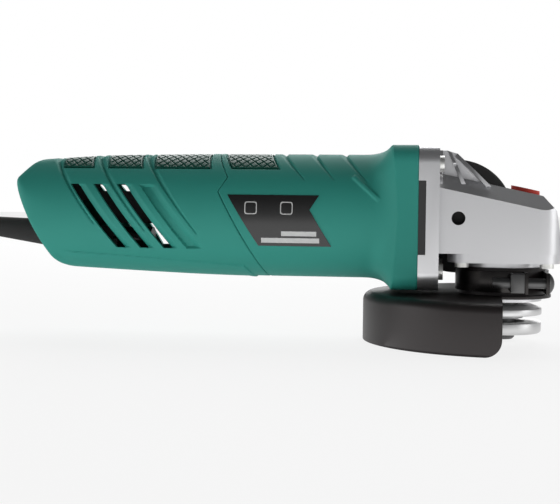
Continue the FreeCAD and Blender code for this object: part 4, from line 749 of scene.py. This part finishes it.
@dataclass(frozen=True)
class GripPad:
    """A cross-hatched pad let into the top of a shell."""

    name: str
    rear: float
    front: float
    lean: float
    half_turn: float = math.radians(42.0)
    sunk: float = 1.5
    gap: float = 0.85

    def edge(self, base: float, turn: Array) -> Array:
        """X of one end of the pad, which leans forward down the side."""
        return base + self.lean * (1.0 - np.cos(turn)) / (1.0 - math.cos(self.half_turn))

    def recess(self, x: Array, turn: Array) -> Array:
        """Depth of the pocket that the pad sits in."""
        t = np.abs(turn)
        inside_x = np.minimum(x - self.edge(self.rear, t), self.edge(self.front, t) - x)
        inside_t = (self.half_turn - t) * BARREL_R
        return self.sunk * smoothstep((np.minimum(inside_x, inside_t) + 0.35) / 0.7)

    def build(self, radius: Callable[[Array, Array], Array]) -> bpy.types.Object:
        """The pad, on the surface that it sits in.

        Its top is a grid between its ends and over the turn angle. Two families of cuts cross at
        p = (x +- arc) / pitch, each 0.45 deep where |p - round(p)| is small.

        Args:
            radius: The shell's radius at x and turn, without the pocket.

        Returns:
            The pad.
        """
        gap = self.gap
        columns = int((self.front - self.rear) / 0.28)
        rows = 2 * int(self.half_turn * BARREL_R / 0.28)
        reach = self.half_turn - gap / BARREL_R
        turn = np.linspace(-reach, reach, rows)[:, None] + np.zeros((1, columns))
        u = np.linspace(0.0, 1.0, columns)[None, :]
        x = self.edge(self.rear, np.abs(turn)) + gap
        x = x + u * (self.edge(self.front, np.abs(turn)) - gap - x)
        arc = turn * BARREL_R
        pitch = 4.3
        cuts = [np.abs((x + s * 0.78 * arc) / pitch - np.round((x + s * 0.78 * arc) / pitch)) * pitch for s in (-1, 1)]
        rim = np.minimum(np.minimum(u, 1 - u) * (self.front - self.rear), (reach - np.abs(turn)) * BARREL_R)
        hatch = np.maximum(*[1.0 - smoothstep((c - 0.1) / 0.45) for c in cuts]) * smoothstep((rim - 0.5) / 0.4)
        r = radius(x, turn) - 0.12 - 0.42 * hatch - 0.25 * (1.0 - smoothstep(rim / 0.4))
        top = on_barrel(x, r, turn)
        foot = on_barrel(x, radius(x, turn) - self.sunk - 0.2, turn)
        walls = [Patch(np.stack([top[0], foot[0]])), Patch(np.stack([top[-1], foot[-1]])),
                 Patch(np.stack([top[:, 0], foot[:, 0]])), Patch(np.stack([top[:, -1], foot[:, -1]]))]
        pad = make_piece(self.name, [Patch(top), Patch(foot[::8, ::8]) if False else Patch(foot), *walls],
                         [GRIP_GREEN], weld=0.002)
        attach(pad, "root")
        return pad


def on_barrel(x: Array, r: Array, turn: Array) -> Array:
    """Points at radius r about the motor axis, turned from straight up towards -Y."""
    return np.stack([x + 0 * r, -r * np.sin(turn), MOTOR_Z + r * np.cos(turn)], axis=-1)


TAIL_PADS = (
    GripPad("grip_pad_rear", -226.2, -209.8, 3.0),
    GripPad("grip_pad_second", -202.7, -184.1, 3.0),
    GripPad("grip_pad_third", -178.2, -148.5, 2.5),
)
FRONT_PAD = GripPad("grip_pad_front", -141.4, -116.6, 5.5)


@dataclass
class MotorHousing:
    """The barrel with its flare and square ring."""

    ring_half: float = 35.5
    ring_corner: float = 9.0
    ring_rear: float = -56.6
    bulge: float = 3.9
    flare_length: float = 14.0
    front: float = -42.0
    turns: int = 400
    columns: int = 205
    scores: tuple[Score, ...] = (
        Score((-110.1, 78.9), (-98.2, 66.4), 2.6, 0.9, 1.2),
        Score((-94.4, 78.9), (-83.4, 66.4), 2.6, 0.9, 1.2),
        Score((-79.2, 78.9), (-67.0, 65.4), 2.6, 0.9, 1.2),
    )

    def square_radius(self, turn: Array) -> Array:
        """Distance from the axis to the ring's rounded square outline."""
        a = np.abs((np.abs(turn) + math.pi / 4) % (math.pi / 2) - math.pi / 4)
        flat = self.ring_half - self.ring_corner
        side = self.ring_half / np.cos(a)
        along = flat * (np.cos(a) + np.sin(a))
        arc = along + np.sqrt(np.clip(along ** 2 - 2 * flat ** 2 + self.ring_corner ** 2, 0.0, None))
        return np.where(np.tan(a) * self.ring_half < flat, side, arc)

    def step_x(self, turn: Array) -> Array:
        """X where the flare meets the ring, which bulges forward at mid height."""
        height = np.cos(turn)
        return self.ring_rear + self.bulge * np.clip(1.0 - height ** 2 * 1.15, 0.0, None)

    def plain_radius(self, x: Array, turn: Array) -> Array:
        """Barrel, flare and ring without the cuts.

        With t from 0 to 1 along the flare, the radius is barrel + (ring - barrel) t^2.6, and it steps up by
        0.5 at the ring.
        """
        step = self.step_x(turn)
        t = np.clip((x - step) / self.flare_length + 1.0, 0.0, 1.0)
        square = self.square_radius(turn)
        flare = BARREL_R + (square - 0.5 - BARREL_R) * t ** 2.6
        return np.where(x > step, flare + 0.5 * smoothstep((x - step) / 0.5), flare)

    def radius(self, x: Array, turn: Array) -> Array:
        """The outer radius with every cut and rib."""
        r = self.plain_radius(x, turn)
        z = MOTOR_Z + BARREL_R * np.cos(turn)
        for score in self.scores:
            r = r - score.sink(x, z)
        r = r - FRONT_PAD.recess(x, turn)
        r = r + self.bar(x, z)
        lip = smoothstep((x - split_x(z)) / 0.7)
        r = r - 0.45 * (1.0 - lip)
        ring_front = smoothstep((self.front - x) / 0.6)
        return r - 0.5 * (1.0 - ring_front)

    def bar(self, x: Array, z: Array) -> Array:
        """A slanted rib that runs into the flare: 0.9 high and 2.2 wide along its line."""
        ax, az, bx, bz = -74.5, 68.5, -60.5, 55.9
        length = math.hypot(bx - ax, bz - az)
        dx, dz = (bx - ax) / length, (bz - az) / length
        along = (x - ax) * dx + (z - az) * dz
        across = np.abs((x - ax) * dz - (z - az) * dx)
        return 0.9 * smoothstep((1.35 - across) / 0.7) * smoothstep(along / 0.9) * smoothstep((length - along) / 4.0)

    def build(self) -> None:
        """The shell with its bore, the spigot and the rear bearing seat."""
        turn = np.linspace(-math.pi, math.pi, self.turns, endpoint=False)[None, :]
        u = np.linspace(0.0, 1.0, self.columns)[:, None]
        start = split_x(MOTOR_Z + BARREL_R * np.cos(turn)) + 0.15
        x = start + u * (self.front - start)
        outer = on_barrel(x, self.radius(x, turn), turn)
        bore = BARREL_R - WALL
        inner_x = np.concatenate([start, start + 4.0 + 0 * start, self.front + 0 * start])
        inner = on_barrel(inner_x, bore + 0 * inner_x, turn)
        shell = [Patch(outer, close_columns=True), Patch(inner, close_columns=True),
                 Patch(np.stack([outer[0], inner[0]]), close_columns=True),
                 Patch(np.stack([outer[-1], inner[-1]]), close_columns=True)]
        spigot = [(28.8, -108.0), (28.8, -150.0), (18.1, -150.0), (18.1, -164.0), (14.0, -164.0), (14.0, -147.0),
                  (26.8, -147.0), (26.8, -108.0)]
        tube = lathe(spigot, 96, "x", (0.0, MOTOR_Z))
        housing = make_piece("motor_housing_shell", [*shell, Patch(tube, close_rows=True, close_columns=True)],
                             [GREEN_PLASTIC])
        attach(housing, "root")
        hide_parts("motor_housing")
        FRONT_PAD.build(self.plain_radius)


@dataclass
class Tail:
    """The two tail shells with their vents, cuts and pads."""

    hub: float = -222.0
    turns: int = 190
    columns: int = 200
    cap_columns: int = 80
    slot_top: float = 63.4
    slot_bottom: float = 31.0
    slot_first: float = -217.8
    slot_pitch: float = 12.1
    slot_width: float = 4.5
    slot_slope: float = 0.755
    facet: float = 3.7
    facet_depth: float = 1.7
    plan_corner: float = 11.0
    side_planes: tuple[tuple[float, float, float, float], ...] = (
        (-150.0, 79.9, -219.0, 78.3), (-194.0, 18.5, -150.0, 16.7),
    )
    rear_planes: tuple[tuple[float, float, float, float], ...] = (
        (-219.0, 78.3, -239.0, 75.9), (-239.0, 75.9, -248.0, 64.3), (-248.0, 64.3, -228.8, 23.8),
        (-228.8, 23.8, -223.5, 20.3), (-223.5, 20.3, -194.0, 18.5),
    )
    scores: tuple[Score, ...] = (
        Score((-228.6, 76.6), (-204.4, 43.0), 0.9, 3.0, 1.6),
        Score((-206.8, 77.6), (-178.5, 40.0), 0.9, 3.0, 1.6),
        Score((-181.8, 78.2), (-152.0, 38.8), 0.9, 3.2, 1.6),
    )

    def reach(self, origin_x: Array, direction: Array, shrink: float) -> Array:
        """How far a ray from the motor axis runs inside the tail's closed form.

        The form is the space inside the barrel's cylinder and behind a set of planes. The ray's length is
        the rounded minimum of R / |d_yz| and (c - n.p) / (n.d) over the planes that it points at.

        Args:
            origin_x: X of the rays' origins on the motor axis.
            direction: Unit directions, ... x 3.
            shrink: How far every face is moved inwards.

        Returns:
            The lengths.
        """
        dx, dy, dz = direction[..., 0], direction[..., 1], direction[..., 2]
        far = 500.0
        across = np.sqrt(dy ** 2 + dz ** 2)
        found = np.minimum((BARREL_R - shrink) / np.maximum(across, 1e-6), far)
        for group, rounding in ((self.side_planes, 0.5), (self.rear_planes, 3.0)):
            for x0, z0, x1, z1 in group:
                found = soft_min(found, self._to_plane(origin_x, dx, dz, (x0, z0, x1, z1), shrink), rounding)
        cx, cy = -248.0 + self.plan_corner, BARREL_R - self.plan_corner
        for angle in np.radians([12.0, 30.0, 48.0, 66.0, 82.0]):
            for side in (-1, 1):
                nx, ny = -math.cos(angle), side * math.sin(angle)
                level = nx * cx + abs(ny) * cy + self.plan_corner - shrink
                facing = nx * dx + ny * dy
                length = (level - nx * origin_x) / np.maximum(facing, 1e-6)
                found = soft_min(found, np.where(facing > 1e-4, length, far), 2.0)
        return found

    def _to_plane(self, origin_x: Array, dx: Array, dz: Array, edge: tuple[float, float, float, float],
                  shrink: float) -> Array:
        """Length of the rays to the plane through an edge of the side outline."""
        x0, z0, x1, z1 = edge
        length = math.hypot(x1 - x0, z1 - z0)
        nx, nz = (z1 - z0) / length, -(x1 - x0) / length
        if nx * (x0 + 190.0) + nz * (z0 - MOTOR_Z) < 0:
            nx, nz = -nx, -nz
        level = nx * (x0 - origin_x) + nz * (z0 - MOTOR_Z) - shrink
        facing = nx * dx + nz * dz
        return np.where(facing > 1e-4, level / np.maximum(facing, 1e-4), 500.0)

    def plain_radius(self, x: Array, turn: Array) -> Array:
        """Radius of the tail's form at x, for the pads."""
        direction = np.stack([0 * x + 0 * turn, -np.sin(turn) + 0 * x, np.cos(turn) + 0 * x], axis=-1)
        return self.reach(x + 0 * turn, direction, 0.0)

    def lean(self, z: Array) -> Array:
        """X shift of a vent at a height."""
        return (self.slot_top - z) * self.slot_slope

    def relief(self, x: Array, z: Array, turn: Array) -> Array:
        """Depth of all that is sunk into the side: scores, vent facets, pads, and the raised belly edge.

        Beside each vent the surface falls evenly towards the vent's front edge over the facet's width. The
        belly edge stands 0.6 proud just below its line and fades out over 9.
        """
        sunk = np.zeros_like(x)
        for score in self.scores:
            sunk = np.maximum(sunk, score.sink(x, z))
        span = smoothstep((self.slot_top - z) / 0.8) * smoothstep((z - self.slot_bottom) / 0.8)
        for index in range(4):
            edge = self.slot_first + index * self.slot_pitch + self.slot_width + self.lean(z)
            d = x - edge
            slope = np.clip(1.0 - d / self.facet, 0.0, 1.0) * (d > -0.6)
            facet = self.facet_depth * slope * span
            if index == 3:
                floor = (d <= -0.0) * (d > -self.slot_width)
                facet = np.maximum(facet * (d > 0), self.facet_depth * floor * span)
            sunk = np.maximum(sunk, facet)
        for pad in TAIL_PADS:
            sunk = np.maximum(sunk, pad.recess(x, turn))
        line = np.interp(x, [-224.0, -216.6, -187.6, -129.3, -125.4, -121.0], [30.0, 29.2, 27.4, 23.3, 17.3, 10.0])
        below = line - z
        proud = 0.6 * smoothstep(below / 0.45) * (1.0 - smoothstep((below - 1.5) / 9.0))
        proud = proud * smoothstep((x + 224.0) / 8.0)
        return sunk - proud

    def grid(self, shrink: float, side: int) -> tuple[Array, Array, Array]:
        """Points of one half of the tail's form.

        Rays leave the motor axis square to it back to the hub, and from the hub they tip from square to
        straight back, phi going from 0 to 90 degrees: d = cos(phi) radial - sin(phi) X.

        Args:
            shrink: How far inside the outer form.
            side: -1 for the right half and 1 for the left.

        Returns:
            Points, turn angles and unit ray directions, columns x turns.
        """
        turn = -side * np.linspace(0.0, math.pi, self.turns)[None, :]
        start = split_x(MOTOR_Z + BARREL_R * np.cos(turn)) - 0.15
        u = np.linspace(0.0, 1.0, self.columns)[:, None]
        origin = np.concatenate([start + u * (self.hub - start), np.full((self.cap_columns, self.turns), self.hub)])
        phi = np.concatenate([np.zeros(self.columns), np.linspace(0, math.pi / 2, self.cap_columns + 1)[1:]])[:, None]
        turn = turn + 0 * origin
        direction = np.stack([-np.sin(phi) + 0 * turn, -np.cos(phi) * np.sin(turn), np.cos(phi) * np.cos(turn)], axis=-1)
        length = self.reach(origin, direction, shrink)
        axis = np.stack([origin, 0 * origin, MOTOR_Z + 0 * origin], axis=-1)
        return axis + length[..., None] * direction, turn, direction

    def half_shell(self, side: int) -> list[Patch]:
        """Outer and inner walls of one half with the rims between them."""
        outer, turn, direction = self.grid(0.0, side)
        x, z = outer[..., 0], outer[..., 2]
        sunk = self.relief(x, z, turn) * smoothstep((np.abs(outer[..., 1]) + 60.0) / 60.0)
        rear = np.linspace(0.0, 1.0, len(outer))[:, None]
        sunk = sunk * (1.0 - smoothstep((rear - 0.86) / 0.1))
        sunk = sunk + 0.45 * (1.0 - smoothstep((split_x(z) - x) / 0.7))
        seam = np.abs(outer[..., 1])
        sunk = sunk + 0.4 * (1.0 - smoothstep((seam - 0.1) / 0.5))
        outer = outer - sunk[..., None] * direction
        outer[..., 1] += side * 0.08 * (seam < 0.6)
        inner, _, _ = self.grid(WALL, side)
        inner[0, :, 0] = outer[0, :, 0]
        inner[..., 1] += side * 0.08 * (np.abs(inner[..., 1]) < 0.3)
        return [Patch(outer), Patch(inner), Patch(np.stack([outer[0], inner[0]])),
                Patch(np.stack([outer[:, 0], inner[:, 0]])), Patch(np.stack([outer[:, -1], inner[:, -1]]))]

    def slot_block(self, index: int, y0: float, y1: float) -> list[Patch]:
        """A slanted vent's cutter: a closed block between two Y planes."""
        x = self.slot_first + index * self.slot_pitch
        low = self.lean(np.array(self.slot_bottom + 0.4))
        outline = np.array([(x, self.slot_top), (x + self.slot_width, self.slot_top),
                            (x + self.slot_width + low, self.slot_bottom + 0.4), (x + low, self.slot_bottom + 0.4)])
        ring = np.stack([np.stack([outline[:, 0], np.full(4, y), outline[:, 1]], axis=-1) for y in (y0, y1)])
        caps = [Patch(end[[0, 1, 3, 2]].reshape(2, 2, 3)) for end in ring]
        return [Patch(ring, close_columns=True), *caps]

    def cutter(self, side: int) -> bpy.types.Object:
        """Vents, the sleeve's hole and the dial's window for one half."""
        patches = []
        for index in range(3):
            patches += self.slot_block(index, side * 14.0, side * 45.0)
        box = np.array([(-234.5, 47.8), (-255.0, 47.8), (-255.0, 53.2), (-234.5, 53.2)])
        ring = np.stack([np.stack([box[:, 0], np.full(4, y), box[:, 1]], axis=-1) for y in (-9.4, 9.4)])
        patches += [Patch(ring, close_columns=True), *[Patch(e[[0, 1, 3, 2]].reshape(2, 2, 3)) for e in ring]]
        rise = math.radians(5.6)
        along = np.array([-math.cos(rise), 0.0, math.sin(rise)])
        up = np.array([math.sin(rise), 0.0, math.cos(rise)])
        angle = np.linspace(0, 2 * math.pi, 64, endpoint=False)[None, :, None]
        s = np.array([-14.0, -14.0, 20.0, 20.0])[:, None, None]
        r = np.array([0.0, 7.1, 7.1, 0.0])[:, None, None]
        hole = np.array([-235.1, 0.0, 37.4]) + s * along + r * (np.cos(angle) * np.array([0, 1.0, 0]) + np.sin(angle) * up)
        patches.append(Patch(hole, close_columns=True))
        return make_piece("tail_cutter", patches, [GREEN_PLASTIC])

    def build(self) -> None:
        """Both halves, cut through, with their pads."""
        for side, name in ((-1, "right"), (1, "left")):
            half = make_piece(f"tail_half_{name}", self.half_shell(side), [GREEN_PLASTIC])
            boolean_cut(half, self.cutter(side))
            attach(half, "root")
            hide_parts(f"tail_shell_{name}")
            LOG.info("tail half %s cut: %d faces", name, len(half.data.polygons))
        for pad in TAIL_PADS:
            pad.build(self.plain_radius)


# ---------------------------------------------------------------- label

@dataclass
class Label:
    """The black plate on the housing's side with blank fields."""

    top: float = 58.6
    bottom: float = 33.6
    radius: float = 31.5
    thick: float = 0.32
    rows: int = 60
    columns: int = 90

    def left_edge(self, z: Array) -> Array:
        """X of the plate's rear edge at a height."""
        return np.interp(z, [self.bottom, self.top], [-120.9, -136.4])

    def right_edge(self, z: Array) -> Array:
        """X of the plate's front edge at a height."""
        return np.interp(z, [self.bottom, 51.5, self.top], [-84.6, -95.2, -90.7])

    def wrap(self, x: Array, z: Array, r: float) -> Array:
        """Points on the barrel's side at x and z, at radius r."""
        turn = np.arccos(np.clip((z - MOTOR_Z) / self.radius, -1.0, 1.0))
        return on_barrel(x, r + 0 * x, turn)

    def sheet(self, x: Array, z: Array, low: float, high: float, finish: int) -> list[Patch]:
        """A closed thin sheet over a grid of x and z."""
        top, foot = self.wrap(x, z, high), self.wrap(x, z, low)
        return [Patch(top, finish=finish), Patch(foot, finish=finish),
                *[Patch(np.stack([top[k], foot[k]]), finish=finish) for k in (0, -1)],
                *[Patch(np.stack([top[:, k], foot[:, k]]), finish=finish) for k in (0, -1)]]

    def frame(self, cx: float, cz: float, half: float, corner: float, width: float) -> list[Patch]:
        """A rounded square outline: the path |x|^5 + |z|^5 = half^5 with a width across it."""
        angle = np.linspace(0, 2 * math.pi, 72, endpoint=False)
        c, s = np.cos(angle), np.sin(angle)
        size = np.array([half, half - width])[:, None]
        reach = (np.abs(c) ** corner + np.abs(s) ** corner) ** (-1.0 / corner)
        x = cx + size * reach * c
        z = cz + size * reach * s
        top, foot = self.wrap(x, z, self.radius + self.thick + 0.05), self.wrap(x, z, self.radius + self.thick - 0.1)
        ring = np.stack([top[0], top[1], foot[1], foot[0]])
        return [Patch(ring, close_rows=True, close_columns=True, finish=1)]

    def bar(self, x0: float, x1: float, z0: float, z1: float) -> list[Patch]:
        """A blank field."""
        u, v = np.meshgrid(np.linspace(x0, x1, 30), np.linspace(z0, z1, 6))
        return self.sheet(u, v, self.radius + self.thick - 0.1, self.radius + self.thick + 0.05, 1)

    def build(self) -> None:
        """The plate with its frames and fields in one piece."""
        z = np.linspace(self.bottom, self.top, self.rows)[:, None]
        u = np.linspace(0.0, 1.0, self.columns)[None, :]
        x = self.left_edge(z) + u * (self.right_edge(z) - self.left_edge(z))
        patches = self.sheet(x, z + 0 * x, self.radius - 0.25, self.radius + self.thick, 0)
        patches += self.frame(-124.4, 52.2, 3.1, 6.0, 0.45)
        patches += self.frame(-106.6, 52.2, 3.1, 6.0, 0.45)
        patches += self.bar(-109.2, -91.8, 38.6, 40.9)
        patches += self.bar(-119.3, -90.4, 35.2, 37.6)
        plate = make_piece("label", patches, [LABEL_FILM, LABEL_INK])
        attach(plate, "root")
        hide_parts("label_plate")


# ---------------------------------------------------------------- side handle

@dataclass
class SideHandle:
    """The screw-in handle: a hand stop disc and a ribbed grip."""

    axis_x: float = -22.7
    disc_y: float = 37.0
    disc_r: float = 30.5
    end_y: float = 146.0
    ribs: int = 10

    def build(self) -> None:
        """The grip as a turned form whose radius also depends on the angle.

        r = profile(y) - 0.9 ribs(y) max(0, cos(n a))^6, with shallow finger waves along y in the profile.
        """
        y0 = 30.6
        stations = np.array([(0, y0), (3.35, y0), (8.6, y0), (8.8, 36.9), (self.disc_r - 1.0, 37.0), (self.disc_r, 37.8),
                             (self.disc_r, 39.8), (self.disc_r - 1.4, 41.0), (17.5, 41.6), (14.6, 43.0), (13.2, 49.0)])
        y = np.linspace(50.0, self.end_y - 8.0, 150)
        keys_y = [49.0, 75.0, 99.0, 127.0, 138.0]
        r = np.interp(y, keys_y, [13.2, 15.6, 16.0, 14.4, 16.5]) + 0.25 * np.cos(2 * math.pi * (y - 50) / 22.0)
        end = np.array([(16.6, 140.0), (16.1, 143.0), (14.6, 145.2), (12.0, 146.0), (6.0, 146.0), (5.2, 145.4), (0, 145.4)])
        fine = [np.linspace(a, b, 4, endpoint=False) for a, b in zip(stations[:-1], stations[1:])]
        line = np.concatenate([*fine, stations[-1:], np.stack([r, y], axis=-1), end])
        angle = np.linspace(0, 2 * math.pi, 240, endpoint=False)[None, :]
        h = line[:, 1:]
        grip = smoothstep((h - 52.0) / 5.0) * smoothstep((136.0 - h) / 5.0)
        knurl = 1.0 - smoothstep((np.abs((h - 94.0) % 6.0 - 3.0) - 0.2) / 0.7)
        cut = 0.9 * grip * np.clip(np.cos(self.ribs * angle), 0.0, 1.0) ** 6 + 0.35 * grip * knurl
        radius = line[:, :1] - cut
        points = np.stack([self.axis_x + radius * np.cos(angle), h + 0 * radius, MOTOR_Z + radius * np.sin(angle)], axis=-1)
        grip_piece = make_piece("handle_grip", [Patch(points, close_columns=True)], [BLACK_PLASTIC])
        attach(grip_piece, "side_handle")
        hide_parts("side_handle_grip")


@dataclass
class HandleHole:
    """The thread in the head's free handle hole, coloured near black as painted shade inside the hole."""

    axis_x: float = -22.7
    mouth_y: float = -27.9
    depth: float = 8.6
    radius: float = 3.3
    pitch: float = 1.25

    def build(self) -> None:
        """A liner whose inner radius is r - 0.35 (0.5 + 0.5 cos(2 pi y / pitch)), closed at its end."""
        y = np.linspace(0.3, self.depth, 90)
        r = self.radius - 0.05 - 0.35 * (0.5 + 0.5 * np.cos(2 * math.pi * y / self.pitch))
        profile = [(self.radius, self.mouth_y), *zip(r, self.mouth_y + y), (0.0, self.mouth_y + self.depth),
                   (0.0, self.mouth_y + self.depth + 0.3), (self.radius, self.mouth_y + self.depth + 0.3)]
        points = lathe(profile, 48, "y", (self.axis_x, MOTOR_Z))
        liner = make_piece("handle_hole_thread", [Patch(points, close_rows=True, close_columns=True)], [HOLE_SHADE])
        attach(liner, "root")


# ---------------------------------------------------------------- carried parts

@dataclass
class CarriedParts:
    """The frame's own parts, dressed by their material slots."""

    bevelled: dict[str, float] = field(default_factory=lambda: {
        "clamp_nut": 0.35, "clamp_band": 0.25, "guard": 0.3, "lock_button": 0.5, "switch_slider": 0.5,
        "flange_nut": 0.4, "inner_flange": 0.4,
    })
    finishes: dict[str, Finish] = field(default_factory=lambda: {
        "clamp_band": BAND_STEEL, "clamp_nut": DARK_STEEL, "clamp_bolt": DARK_STEEL,
    })

    def dress(self, node: str, finish: Finish) -> None:
        """Merges a part's triangles, rounds its edges where asked and smooths it by angle."""
        piece = frame["nodes"][node]
        mesh = piece.data
        mesh.polygons.foreach_set("use_smooth", np.ones(len(mesh.polygons), bool))
        mesh.materials.clear()
        mesh.materials.append(finish.material())
        weld = piece.modifiers.new("weld", "WELD")
        weld.merge_threshold = 0.002 * MM
        if node in self.bevelled:
            flat = piece.modifiers.new("flat", "DECIMATE")
            flat.decimate_type = "DISSOLVE"
            flat.angle_limit = math.radians(0.5)
            bevel = piece.modifiers.new("edges", "BEVEL")
            bevel.width = self.bevelled[node] * MM
            bevel.segments = 2
            bevel.limit_method = "ANGLE"
            bevel.angle_limit = SMOOTH_ANGLE
            bevel.use_clamp_overlap = True
        split = piece.modifiers.new("split", "EDGE_SPLIT")
        split.split_angle = SMOOTH_ANGLE

    def build(self) -> None:
        """Dresses every part."""
        for row in frame["record"]["subparts"]:
            node = row.get("node") or row.get("name")
            if node not in frame["nodes"] or frame["nodes"][node].hide_render:
                continue
            slot = row.get("material") or row.get("slot") or row.get("material_slot")
            self.dress(node, self.finishes.get(node, SLOT_FINISHES[slot]))


def main() -> None:
    """Builds the studio and every sub-assembly in order."""
    studio = Studio()
    studio.build_camera()
    lead = MainsLead()
    lead.build_curve()
    lead.build()
    studio.build()
    MotorHousing().build()
    Tail().build()
    Label().build()
    SideHandle().build()
    HandleHole().build()
    CarriedParts().build()


if __name__ == "__main__":
    main()
